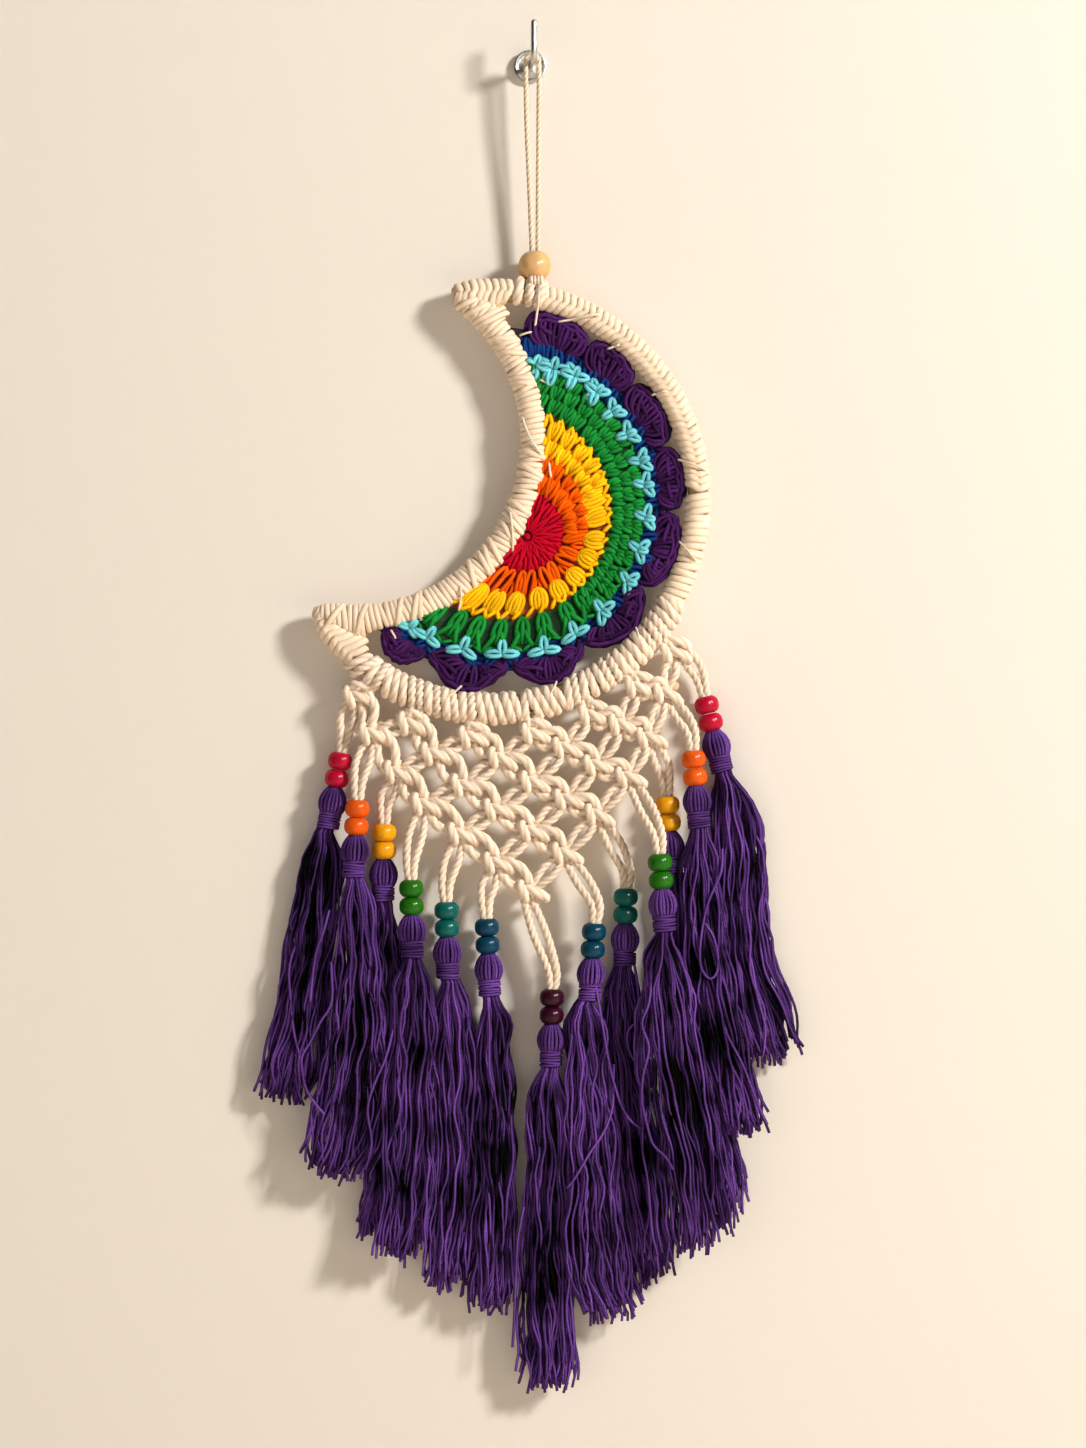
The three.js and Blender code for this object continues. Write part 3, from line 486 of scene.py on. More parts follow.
def clear_part(line):
    """Which stretch of a line, the longest one, the ring's hollow side doesn't cover"""
    away = np.hypot(line[:, 0] - BITE["x"], line[:, 2] - BITE["z"]) > RING_EDGE
    best, start = slice(0, 0), None
    for i, free in enumerate(list(away) + [False]):
        if free and start is None:
            start = i
        if not free and start is not None:
            if i - start > best.stop - best.start:
                best = slice(start, i)
            start = None
    return best


def yarn(strands, points, lifts, radius=YARN_RADIUS, tone=None):
    """A length of yarn in the cloth; lifts say how far it stands in front of the middle, and radius
    is one value or several spread along it"""
    tone = rng.random() if tone is None else tone
    for side, relief, step in SIDES_OF_CLOTH:
        raised = [p + FRONT * (side * relief * lift) for p, lift in zip(points, lifts)]
        line = smooth_line(raised, step)
        shown = clear_part(line)
        if shown.stop - shown.start > 3:
            thick = np.atleast_1d(radius)
            radii = np.interp(np.linspace(0, 1, len(line)), np.linspace(0, 1, len(thick)), thick)[shown]
            radii[[0, -1]] *= 0.7
            strands.lay(line[shown], radii, ROUND_6, tone=tone)


def petal(strands, root, tip, half_width, lift, radius=YARN_RADIUS, foot=0.35, tone=None):
    """One yarn that goes out on one side of a stitch, round its tip and back on the other"""
    out = tip - root
    across = np.cross(out, FRONT) / np.linalg.norm(out)
    path = ((0, foot, 0.4), (0.3, 1, 0.9), (0.68, 0.95, 1), (0.93, 0.5, 0.8), (1, 0, 0.7))
    places = [(share, side * wide, high) for side in (1, -1) for share, wide, high in path[:: side]]
    places.pop(len(path))
    points = [root + out * share + across * wide * half_width for share, wide, _ in places]
    yarn(strands, points, [high * lift for _, _, high in places], radius, tone)


def puff(strands, inner, outer, angle, span, width, loops, lift, slant=0.0, radius=YARN_RADIUS):
    """Petals nested in one another, round at the inner end, with one straight yarn in the middle"""
    for k in range(loops + 1):
        foot = spot(inner, outer, angle, span[0] + 0.07 * k, slant * -0.5)
        top = spot(inner, outer, angle, span[1], slant * 0.5)
        tall = lift * (0.78 + 0.22 * k / loops)
        if k < loops:
            petal(strands, top, foot, width / 2 * (loops - k) / (loops + 0.15), tall, radius, foot=0.7)
        else:
            yarn(strands, [top, (top + foot) / 2, foot], (0.5, tall, tall * 0.7), radius)


def vee(strands, inner, outer, angle, span, spread, lift, slant=0.0, radius=YARN_RADIUS):
    """Two fat arms of doubled yarn that open outwards from one root, like a knitted stitch"""
    angle += rng.uniform(-0.7, 0.7)
    slant += rng.uniform(-0.8, 0.8)
    for side in (1, -1):
        for twin, gap in ((0, 0.0), (1, 1.7)):
            low = span[0] + (span[1] - span[0]) * 0.22 * twin
            points = []
            for share, wide in ((0, 0.22), (0.35, 0.75), (0.72, 1.0), (1, 0.82)):
                aside = side * (spread * wide - gap * min(1, share * 2.5)) + slant * (share - 0.5)
                points.append(spot(inner, outer, angle, low + (span[1] - low) * share, aside))
            tall = lift * (1.0 if twin == 0 else 0.8) * rng.uniform(0.9, 1.1)
            yarn(strands, points, (0.3, tall, tall, 0.5), radius)


def zigzag(strands, inner, outer, start, end, pitch, shares, lift, radius=YARN_RADIUS):
    """Pointed edging: short yarns to and fro between two rings of the round"""
    count = int(abs(end - start) / pitch)
    for i in range(count):
        angle = start - i * pitch
        low, high = spot(inner, outer, angle, shares[0]), spot(inner, outer, angle - pitch / 2, shares[1])
        low_next = spot(inner, outer, angle - pitch, shares[0])
        for a, b in ((low, high), (high, low_next)):
            bulge = (a + b) / 2
            yarn(strands, [a, bulge, b], (lift * 0.7, lift, lift * 0.7), radius)


crochet_looks = {
    name: yarn_material("crochet_" + name, colour, shade, (2, 0), (6, 0.45), dye_and_shade=uneven)
    for name, (colour, shade, uneven) in CROCHET_YARNS.items()
}


def finish_round(strands, name):
    piece = strands.make("crochet_" + name, crochet_looks[name], "crochet_" + name, ["round_" + name])


# Crimson: long stitches gathered at the hub, with short ones crossing between them
CRIMSON_STITCHES = 19
crimson = Strands()
for i in range(CRIMSON_STITCHES):
    angle = 100 - i * 360 / CRIMSON_STITCHES + rng.uniform(-2, 2)
    root, tip = spot(HUB, CRIMSON, angle, 0.1), spot(HUB, CRIMSON, angle, 0.97 + rng.uniform(-0.07, 0.06))
    petal(crimson, tip, root, 2.2, 2.6, radius=(1.15, 1.2, 0.9, 0.45, 0.9, 1.2, 1.15), foot=0.8)
    middle = [spot(HUB, CRIMSON, angle, share) for share in (0.35, 0.65, 0.97)]
    yarn(crimson, middle, (0.6, 3.0, 0.9), (0.6, 1.1, 1.1))
    if i % 2 == 0:
        between = angle - 180 / CRIMSON_STITCHES + rng.uniform(-2, 2)
        places = ((between + 5, 0.5), (between, 0.8), (between - 5, 1.06))
        crossing = [spot(HUB, CRIMSON, turn, share) for turn, share in places]
        yarn(crimson, crossing, (0.3, 2.9, 0.9), 1.0)
for turn in (20, 80, 140):
    across, middle = 1.9 * heading(turn), on_circle(HUB, 0, 0)
    yarn(crimson, [middle - across, middle, middle + across], (0.2, 2.0, 0.2), 0.9)
finish_round(crimson, "crimson")

# Orange: knitted-looking stitches at the top, slanting loops the rest of the way
ORANGE_STITCHES = 28
orange = Strands()
for i in range(ORANGE_STITCHES):
    angle = 103 - i * 360 / ORANGE_STITCHES + rng.uniform(-1, 1)
    tilt = (3.6 if i % 2 else -3.0) + rng.uniform(-1, 1)
    root = spot(CRIMSON, ORANGE, angle, -0.1)
    tip = spot(CRIMSON, ORANGE, angle + tilt, 0.98 + rng.uniform(-0.1, 0.08))
    if angle > -8:
        for span in ((-0.12, 0.5), (0.36, 0.98)):
            vee(orange, CRIMSON, ORANGE, angle, span, 2.3, 2.9, slant=1.6, radius=1.15)
        continue
    petal(orange, tip, root, 1.75, 2.6, foot=0.75)
    if i % 2:
        high, low = spot(CRIMSON, ORANGE, angle - 6, 1.0), spot(CRIMSON, ORANGE, angle - 6.5, 0.35)
        petal(orange, high, low, 1.2, 1.7, 1.0)
    if angle > -35 or i % 3 == 0:
        yarn(orange, [root, (root + tip) / 2, tip], (0.6, 2.9, 0.8), 1.0)
finish_round(orange, "orange")

# Yellow: the same at the top, then fat puffs, and a pointed edging all round
YELLOW_VEES = 36
YELLOW_PUFFS = 25
yellow = Strands()
for i in range(YELLOW_VEES):
    angle = 101 - i * 360 / YELLOW_VEES
    if angle > 14:
        for span in ((-0.16, 0.42), (0.26, 0.9)):
            vee(yellow, ORANGE, YELLOW, angle, span, 2.8, 3.1, slant=2.2, radius=1.2)
for i in range(YELLOW_PUFFS):
    angle = 101 - i * 360 / YELLOW_PUFFS + rng.uniform(-1.2, 1.2)
    if angle < 17:
        slant = (2.2 if angle > -40 else 0.6) + rng.uniform(-1.4, 1.4)
        span = (-0.16 + rng.uniform(-0.08, 0.06), 0.8 + rng.uniform(-0.05, 0.06))
        puff(yellow, ORANGE, YELLOW, angle, span, 8.6 + rng.uniform(-1.2, 0.6), 2, 3.0, slant, 1.2)
zigzag(yellow, ORANGE, YELLOW, 105, -150, 360 / 50, (0.66, 1.04), 2.3)
finish_round(yellow, "yellow")

# Green: three courses of knitted-looking stitches at the top, and spread fans at the foot
GREEN_VEES = 50
GREEN_FANS = 34
green = Strands()
for i in range(GREEN_VEES):
    angle = 100 - i * 360 / GREEN_VEES
    if angle > -50:
        for span in ((-0.06, 0.4), (0.27, 0.72), (0.58, 1.0)):
            vee(green, YELLOW, GREEN, angle, span, 2.9, 3.0, slant=1.8, radius=1.2)
for i in range(GREEN_FANS):
    angle = 100 - i * 360 / GREEN_FANS + rng.uniform(-0.9, 0.9)
    if angle < -45:
        puff(green, YELLOW, GREEN, angle, (0.02, 0.8), 6.4, 1, 2.8, slant=rng.uniform(-1, 1), radius=1.35)
        for tilt in (-3.2, 3.2):
            places = ((0.25, 0.3), (0.7, 0.62), (1.5, 1.0))
            points = [spot(YELLOW, GREEN, angle + tilt * turn, share) for turn, share in places]
            yarn(green, points, (0.9, 2.7, 0.8), 1.35)
zigzag(green, YELLOW, GREEN, 100, -150, 360 / 45, (0.86, 1.04), 1.8, 1.0)
finish_round(green, "green")

# Turquoise: a little leaved stitch over each gap between two green ones
LEAVED_STITCHES = [  # angle, distance from the middle, size
    (74, 70, 1.15), (67, 71.5, 1.25), (58.4, 73.1, 1.05), (48, 73.2, 1), (38.2, 72.5, 1), (27.7, 72.5, 1),
    (16.3, 73.5, 1), (7.1, 73.1, 1), (-5.4, 73.4, 1), (-17.9, 73.2, 1), (-30.7, 74.7, 1),
    (-45.2, 73.5, 1.05), (-58.7, 74.6, 1.05), (-71.8, 75.3, 1.1), (-87.7, 73.5, 1.15), (-103.1, 73, 1.1),
    (-117.2, 73.5, 1), (-125, 73.8, 0.8), (-132, 73.5, 0.7),
]
LEAVES = [(66, 6.6, 1.3), (-58, 6.8, 1.3), (160, 5.4, 1.2), (5, 4.4, 1.1)]  # turn, length, half width
LEAVES_AT_THE_TOP = LEAVES + [(-170, 6.4, 1.3), (100, 6.4, 1.3)]
LEAVES_AT_THE_FOOT = [(80, 7.0, 1.1), (-80, 7.0, 1.1), (172, 5.8, 1.2)]
turquoise = Strands()
for angle, far, size in LEAVED_STITCHES:
    middle = on_circle(TURQUOISE, angle, far)
    leaves = LEAVES_AT_THE_FOOT if angle < -50 else LEAVES_AT_THE_TOP if angle > 45 else LEAVES
    for n, (turn, length, wide) in enumerate(leaves):
        tip = middle + size * length * heading(angle + turn + rng.uniform(-14, 14))
        tone = 0.2 + 0.65 * rng.random()
        petal(turquoise, middle, tip, wide * size, 3.2 + 0.3 * n, 1.2, foot=0.5, tone=tone)
finish_round(turquoise, "turquoise")

# Navy: four dark rows low in the cloth, and pairs of upright stitches between the turquoise ones
NAVY_ROWS = ((73.6, 0.3), (76.4, 0.4), (79.2, 0.4), (81.4, 0.3))  # radius, lift
navy = Strands()
for radius, lift in NAVY_ROWS:
    line = [on_circle(NAVY, angle, radius) for angle in np.arange(108, -150, -1.9)]
    yarn(navy, line, np.full(len(line), lift), 1.2, tone=0)
between = [(a[0] + b[0]) / 2 for a, b in zip(LEAVED_STITCHES, LEAVED_STITCHES[1:])]
for angle in [84, 79, 74] + between:
    for turn in (-1.9, 1.9):
        foot, tip = on_circle(NAVY, angle + turn, 72.8), on_circle(NAVY, angle + turn * 1.3 + 2.5, 82.2)
        if angle < -50:
            foot, tip = on_circle(NAVY, angle + turn * 2.8, 75.5), on_circle(NAVY, angle + turn * 1.2, 79.5)
        lift, tone = 1.9 + rng.uniform(-0.3, 0.3), 0.35 + 0.5 * rng.random()
        petal(navy, foot, tip, 1.35, lift, 1.15, foot=0.6, tone=tone)
finish_round(navy, "navy")

# Purple: nine shells, each a fan of doubled yarn with two more laid over it and rows along its rim
SHELL_START = 79
SHELLS = [  # degrees across, radius of the valley before it and of its crest, and how full its curve is
    (21.5, 88.5, 93.6, 0.5), (18.5, 88.5, 93.4, 0.5), (22, 88.0, 93.6, 0.5), (21, 88.0, 93.8, 0.5),
    (26, 87.5, 93.6, 0.6), (27.5, 86.0, 94.0, 1.4), (26, 85.5, 94.4, 1.5), (29, 83.0, 94.0, 1.5),
    (17, 82.0, 90.5, 0.9),
]
FAN = 8  # doubled yarns in a shell
RIM_ROWS = [  # how far outside the shell's outline, lift, radius; the first two lie dark and low
    (-6.4, 0.2, 1.4), (-3.8, 0.3, 1.5), (-1.5, 2.9, 1.15), (0.5, 2.4, 1.3), (1.8, 0.4, 1.1),
]


def shell_outline(start, span, valleys, crest, fullness):
    """Places along a shell's edge, from one valley over its crest to the next"""
    outline = []
    for share in np.linspace(0, 1, 17):
        low = valleys[0] + (valleys[1] - valleys[0]) * share
        radius = low + (crest - low) * math.sin(math.pi * share) ** fullness
        outline.append(on_circle(MOON, start - span * (0.02 + 0.96 * share), radius))
    return np.array(outline)


def lay_fan(strands, start, span, outline):
    """Doubled yarns that spread from the navy round to the shell's edge"""
    for i in range(FAN):
        share = (i + 0.5 + rng.uniform(-0.25, 0.25)) / FAN
        root = on_circle(NAVY, start - span * (0.5 + (share - 0.5) * rng.uniform(0.25, 0.5)), 79.6)
        index = share * (len(outline) - 1)
        tip = outline[int(index)] + (outline[int(index) + 1] - outline[int(index)]) * (index % 1)
        sideways = np.cross(tip - root, FRONT)
        lift = rng.uniform(2.2, 3.5)
        for twin in (-0.085, 0.085):
            points = [
                root,
                root + (tip - root) * 0.4 + sideways * ((share - 0.5) * 0.42 + twin),
                root + (tip - root) * 0.75 + sideways * ((share - 0.5) * 0.3 + twin),
                tip + sideways * twin * 0.3,
            ]
            yarn(strands, points, (0.8, lift, lift, 1.6), 1.1, tone=0.1 + 0.75 * rng.random())


def lay_across(strands, start, span, outline):
    """Two yarns that lie across the fan, from both ends of the shell toward its middle"""
    for first, last, depth in ((1, 6, 0.5), (15, 10, 0.45)):
        inner = on_circle(NAVY, start - span * rng.uniform(0.35, 0.65), 80)
        low = outline[first] + (inner - outline[first]) * 0.12
        high = outline[last] + (inner - outline[last]) * (depth + rng.uniform(-0.1, 0.1))
        yarn(strands, [low, (low + high) / 2 + (inner - low) * 0.12, high], (1.6, 3.9, 2.4), 1.2)


def lay_rim(strands, outline):
    """Rows of yarn along the shell's edge, which dive into the valleys at both ends"""
    rim = outline.copy()
    rim[[0, -1]] += (on_circle(MOON, 0, 0) - rim[[0, -1]]) * 0.03
    out = np.array([away_from(MOON, place) for place in rim])
    ends_down = 1 - np.abs(np.linspace(-1, 1, len(rim))) ** 6
    for beyond, lift, thick in RIM_ROWS:
        ripple = np.array([rng.uniform(-0.9, 0.6) for _ in rim])
        sway = lift + np.array([rng.uniform(-0.6, 0.5) for _ in rim]) * (lift > 1)
        tone = 0.0 if beyond < -3 else rng.random()
        row = list(rim + out * (beyond + ripple)[:, None])
        yarn(strands, row, sway * (0.3 + 0.7 * ends_down), thick, tone)


purple = Strands()
start = SHELL_START
for n, (span, valley, crest, fullness) in enumerate(SHELLS):
    next_valley = SHELLS[min(n + 1, len(SHELLS) - 1)][1]
    outline = shell_outline(start, span, (valley, next_valley), crest, fullness)
    lay_fan(purple, start, span, outline)
    lay_across(purple, start, span, outline)
    lay_rim(purple, outline)
    start -= span
finish_round(purple, "purple")

# Cloth: a thin sheet behind the stitches of all seven rounds, in each round's shade colour, which is
# painted shade in the gaps between the stitches. It closes the panel between them, and runs from the
# wrapping of the ring's hollow side out to the shells.
CLOTH = {"first": 47, "last": -94, "edge": 84.5, "rows": 26, "columns": 96}  # angles, outer radius
CLOTH_THICKNESS = 0.7
CLOTH_AREAS = {"navy": NAVY, "green": GREEN, "yellow": YELLOW, "orange": ORANGE, "crimson": CRIMSON}
offset = on_circle(BITE, 0, 0) - on_circle(MOON, 0, 0)
cloth_places, cloth_shades = [], []
for angle in np.linspace(CLOTH["first"], CLOTH["last"], CLOTH["columns"]):
    along = heading(angle) @ offset
    far = -along + math.sqrt(along**2 - offset @ offset + CLOTH["edge"] ** 2)
    for row in range(CLOTH["rows"]):
        radius = RING_EDGE + (max(far, RING_EDGE + 0.5) - RING_EDGE) * row / (CLOTH["rows"] - 1)
        cloth_places.append(on_circle(BITE, angle, radius))
# Each place takes the shade colour of the round it lies in: painted shade
for place in cloth_places:
    colour = "purple"
    for name, circle in CLOTH_AREAS.items():
        if math.hypot(place[0] - circle["x"], place[2] - circle["z"]) < circle["radius"]:
            colour = name
    cloth_shades.append(linear(CROCHET_YARNS[colour][1]))
rows = CLOTH["rows"]
corners = [i * rows + j for i in range(CLOTH["columns"] - 1) for j in range(rows - 1)]
cloth_faces = [(corner, corner + 1, corner + rows + 1, corner + rows) for corner in corners]
cloth_mesh = bpy.data.meshes.new("crochet_cloth_painted_shade")
cloth_mesh.from_pydata((np.array(cloth_places) * MM).tolist(), [], cloth_faces)
dye_and_shade = cloth_mesh.attributes.new("dye_and_shade", "FLOAT_COLOR", "POINT")
dye_and_shade.data.foreach_set("color", np.array(cloth_shades).ravel())
cloth = put_in_scene("crochet_cloth_painted_shade", cloth_mesh)
thicken = cloth.modifiers.new("thickness", "SOLIDIFY")
thicken.thickness = CLOTH_THICKNESS * MM
thicken.offset = 0
bpy.context.view_layer.objects.active = cloth
bpy.ops.object.modifier_apply(modifier="thickness")


def painted_shade_cloth_material():
    """Painted shade: each round's dark shade colour, dull and with a weave, seen only between stitches"""
    material, tree = empty_material("crochet_cloth_painted_shade")
    dyed = node(tree, "Attribute", attribute_name="dye_and_shade").outputs["Color"]
    place = node(tree, "TexCoord").outputs["Object"]
    weave = node(tree, "TexVoronoi", {"Vector": place, "Scale": 420.0}).outputs["Distance"]
    light = node(tree, "MapRange", {"Value": weave, "To Min": 1.3, "To Max": 0.5}).outputs[0]
    colour = node(tree, "VectorMath", {0: dyed, "Scale": light}, operation="SCALE").outputs[0]
    relief = node(tree, "Bump", {"Strength": 0.6, "Distance": 0.0006, "Height": light}).outputs[0]
    shader = node(tree, "BsdfPrincipled", {"Base Color": colour, "Normal": relief, "Roughness": 0.95})
    put_on_surface(tree, shader.outputs[0])
    return material


cloth.data.materials.append(painted_shade_cloth_material())
fit(cloth)

# Lashings: thin cotton thread that ties the crochet to the ring, one short stitch at a time. Most
# run from a shell's edge to the outer arc, and the others lie across the wrapping of the hollow side.
THREAD_RADIUS = 0.55
LASHES = [  # where each starts and ends, in x and z, on the crochet and on the ring
    ((4.7, -109.8), (2.3, -130.8)), ((-4.7, -133.8), (0.9, -132.1)), ((13.1, -127.4), (34.6, -123.7)),
    ((37.9, -140.6), (43.6, -138.7)), ((59.5, -163.1), (66.5, -161.2)), ((4.7, -155.6), (9.8, -158.4)),
    ((72.0, -194.5), (86.7, -200.4)), ((72.5, -234.2), (81.1, -244.5)), ((51.7, -276.4), (53.4, -285.7)),
    ((13.4, -302.3), (7.1, -314.1)), ((-33.1, -304.8), (-41.2, -311.2)), ((-68.1, -277.8), (-65.7, -282.2)),
    ((-3.9, -173.5), (6.9, -194.0)), ((9.3, -196), (10.3, -203.4)), ((-9.8, -219.0), (-8.4, -239.6)),
    ((-33.8, -256.8), (-34.8, -268.5)),
]
CROCHET_FRONT = 3.2  # how far the stitches stand in front of the ring's middle
WRAP_CORD = {"beside": 1.1, "in_front": 1.2}  # how far the wrapping's cord stands out from its own line
LASH_DIVE = 1.6  # how deep both ends go in
# The thread's second colour is painted shade, in the lines between its two plies
thread_look = yarn_material("cotton_thread", 0xFAEEDA, 0xC0A47A, (2, 0.7), (6, 1.5), dye_and_shade=0.1)


def surface_front(x, z):
    """How far forward the ring's wrapping or the crochet comes at a place"""
    front = HANGING_DEPTH + CROCHET_FRONT
    for circle, reach in ((MOON, WRAP["reach"]), (BITE, WRAP["bite_reach"])):
        half = reach + WRAP_CORD["beside"]
        off = abs(math.hypot(x - circle["x"], z - circle["z"]) - circle["radius"])
        if off < half:
            deep = WRAP["deep"] + WRAP_CORD["in_front"]
            front = max(front, HANGING_DEPTH + deep * math.sqrt(1 - (off / half) ** 2))
    return front


threads = Strands()
for (x0, z0), (x1, z1) in LASHES:
    bow = rng.uniform(-0.06, 0.06)
    points = []
    for share in np.linspace(0, 1, 9):
        sag = bow * math.sin(math.pi * share)
        x = x0 + (x1 - x0) * share - (z1 - z0) * sag
        z = z0 + (z1 - z0) * share + (x1 - x0) * sag
        dive = LASH_DIVE * max(0, abs(2 * share - 1) - 0.75) * 4
        points.append((x, -(surface_front(x, z) + THREAD_RADIUS * 1.4 - dive), z))
    threads.lay(smooth_line(points, 1.2), THREAD_RADIUS, ROUND_6, tone=rng.random())
threads.make("lashing_threads", thread_look, "twine", [f"lashing_{i + 1}" for i in range(8)])

# Macrame net: 28 square knots of three-ply cotton rope hang in seven rows from the ring's foot.
# A knot's two outer cords cross in front of its two inner ones, and then the pairs change partners.
ROPE_RADIUS = 2.1
SOFT_RADIUS = 2.45
NET_ANGLES = [-124, -109.5, -94.5, -79.5, -65, -52, -40]
NET_RADIUS = 117.0
NET_ROWS = [(11.4, 0.08), (14.2, 0.05), (12.5, 0.06), (13.2, 0), (14.8, 0), (16, 0)]  # drop, spread
KNOT_CORDS = [  # across, up and forward of the knot's middle
    # the loop that stands up at the left, the bar that comes out from under it, one cord across
    # the back, and one straight down through the middle
    [(-2.6, 4.4, -0.8), (-4.6, 4.3, 1.4), (-4.9, 2.6, 3.4), (-3.9, 0.2, 4.2), (-2.9, -2.2, 3.6),
     (-2.4, -3.8, 1.6), (-2.8, -4.2, -0.8)],
    [(-4.2, 1.4, 0.2), (-1.6, 0.9, 2.6), (1.5, -0.2, 3.7), (4.6, -1.7, 3.3), (6.8, -3.4, 1.5),
     (7.4, -4.4, -0.6)],
    [(4.2, 4.0, -0.4), (3.4, 2.8, -2.4), (0.5, 1.2, -3.2), (-2.6, 0.2, -2.4), (-3.6, -0.8, -0.4)],
    [(0.4, 5.0, -0.4), (0.8, 2.4, 1.0), (0.6, -1.0, 0), (0.8, -4.6, -0.6)],
]
TOP_CORD = [(-3.6, 4.6, 0), (-1.0, 5.8, 2.2), (3.0, 5.3, 2.8), (6.4, 3.4, 1.8), (7.4, 1.4, -0.4)]
LINKS = [  # from the knot at the upper left: two places in it, two in the next one, bow, how far forward
    ([(3.4, 1.6, 0.4), (6.0, 0.8, 2.4)], [(-0.4, 4.6, 1.6), (0.6, 2.4, 0)], 2.2, 3.0),
    ([(1.4, -2.8, 0), (2.6, -5.4, 0.6)], [(-6.4, 1.4, 0.4), (-3.8, 0.8, -0.6)], -1.3, 0.8),
]

net_rows = [[on_circle(MOON, angle, NET_RADIUS) for angle in NET_ANGLES]]
for drop, spread in NET_ROWS:
    above = net_rows[-1]
    row = []
    for left, right in zip(above, above[1:]):
        middle = (left + right) / 2
        row.append(np.array([middle[0] * (1 + spread), middle[1], middle[2] - drop]))
    net_rows.append(row)

net = Strands()


def rope(points):
    """Twisted rope, as it hangs free"""
    net.lay(smooth_line(points, 1.25), ROPE_RADIUS, ROPE, turns=1 / ROPE_LAY, tone=rng.random())


def soft_rope(points):
    """The same rope where it is swollen and slack, in a knot or just below it"""
    net.lay(smooth_line(points, 1.25), SOFT_RADIUS, SOFT_ROPE, turns=1 / SOFT_LAY, tone=rng.random())


def beside(knot, across, up, forward):
    return knot + np.array([across, -forward, up])


def link(parent, knot, leave, enter, bow, forward):
    """A cord from the knot at the upper left down to the next; it bows up by bow"""
    first, leaving = (beside(parent, *place) for place in leave)
    entering, last = (beside(knot, *place) for place in enter)
    run = entering - leaving
    out = np.array([abs(run[2]) * np.sign(run[0]), 0, abs(run[0])]) / math.hypot(run[0], run[2])
    middle = (leaving + entering) / 2 + out * bow * rng.uniform(0.8, 1.25)
    middle[1] = -HANGING_DEPTH - forward + rng.uniform(-0.4, 0.4)
    soft_rope([first, leaving, middle, entering, last])


def rope_pair(parent, knot):
    """Two ropes side by side from the knot at the upper right down to the next, bowed a little apart"""
    run = knot - parent
    run /= np.linalg.norm(run)
    aside = np.cross(run, FRONT)
    for side in (1, -1):
        wide = side * rng.uniform(1.7, 2.1)
        places = [
            parent + run * 1.5 + aside * wide * 0.3 + FRONT * 0.2,
            parent + run * 5.4 + aside * wide + FRONT * 1.4,
            (parent + knot) / 2 + aside * wide * 1.5 + FRONT * 2.0,
            knot - run * 6.6 + aside * wide + FRONT * 1.8,
            knot - run * 2.6 + aside * wide * 0.5 + FRONT * 0.6,
        ]
        rope(places)


for row, knots in enumerate(net_rows):
    for knot in knots:
        lean = math.radians(rng.uniform(-6, 6))
        cords = KNOT_CORDS + [TOP_CORD] * (row == 0)
        for cord in cords:
            turned = [
                (x * math.cos(lean) - z * math.sin(lean), x * math.sin(lean) + z * math.cos(lean), forward)
                for x, z, forward in cord
            ]
            soft_rope([beside(knot, *place) for place in turned])
        if row == 0:
            away = away_from(MOON, knot)
            for across in (-2.0, 2.4):
                top = beside(knot - away * 10, across, 0, 3.0)
                rope([top, beside(knot - away * 5, across, 0, 2.6), beside(knot, across * 0.6, 2, 0.4)])
    for j, knot in enumerate(knots if row else []):
        left, right = net_rows[row - 1][j], net_rows[row - 1][j + 1]
        for places_and_bow in LINKS:
            link(left, knot, *places_and_bow)
        rope_pair(right, knot)

# Drops: from the knots at the net's edge two ropes come together above the first bead and go down
# through both beads. At the net's two upper corners they start higher, beside the knot's top cord.
COLOURS_OF_DROPS = ["red", "orange", "yellow", "green", "teal", "blue", "plum"]
DROP_NAMES = [f"{colour}_left" for colour in COLOURS_OF_DROPS[:6]] + ["plum"]
DROP_NAMES += [f"{colour}_right" for colour in COLOURS_OF_DROPS[5::-1]]


def middle_of(name):
    low, high = (np.array(corner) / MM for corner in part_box(name))
    return (low + high) / 2


drops = []
for n, name in enumerate(DROP_NAMES):
    upper, lower = middle_of(f"bead_{name}_upper"), middle_of(f"bead_{name}_lower")
    slope = (lower - upper) / np.linalg.norm(lower - upper)
    drops.append({"name": name, "upper": upper, "lower": lower, "slope": slope})
    from_edge = min(n, len(DROP_NAMES) - 1 - n)
    side = np.sign(n - (len(DROP_NAMES) - 1) / 2)
    knot = net_rows[from_edge][-1 if side > 0 else 0]
    outer = (4.6, -3.0) if side > 0 else (-3.6, -3.4)
    higher = (2.4, 0, 4.4) if side > 0 else (-1.2, 0, 3.2)
    for place, lane in (((0.6, -4.2), -1 if side > 0 else 1), (outer, 1 if side > 0 else -1)):
        start = beside(knot, *place, 0.2)
        if from_edge == 0:
            start = start + higher
        near = upper - slope * 13 + np.array([lane * 2.0, 0, 0])
        bow = (start + near) / 2 + np.array([side * 0.5 + lane * 1.3, 0, 0])
        end = upper - slope * 3 + np.array([lane * 0.95, 0, 0])
        rope([start + [0, 0, 2.6], start, bow, near, end])
net.make("macrame_net_rope", rope_look, "cotton_cord", ["macrame_net"])

# Beads: turned wooden beads with a wide bore, dipped in glossy paint. The one on the hanging twine
# is larger, rounder and only lacquered, so its grain shows.
BEAD = {"radius": 6.0, "height": 8.8, "bore": 2.9}
WOOD_BEAD = {"radius": 8.0, "height": 14.4, "bore": 3.0}


def deselect():
    bpy.ops.object.select_all(action="DESELECT")


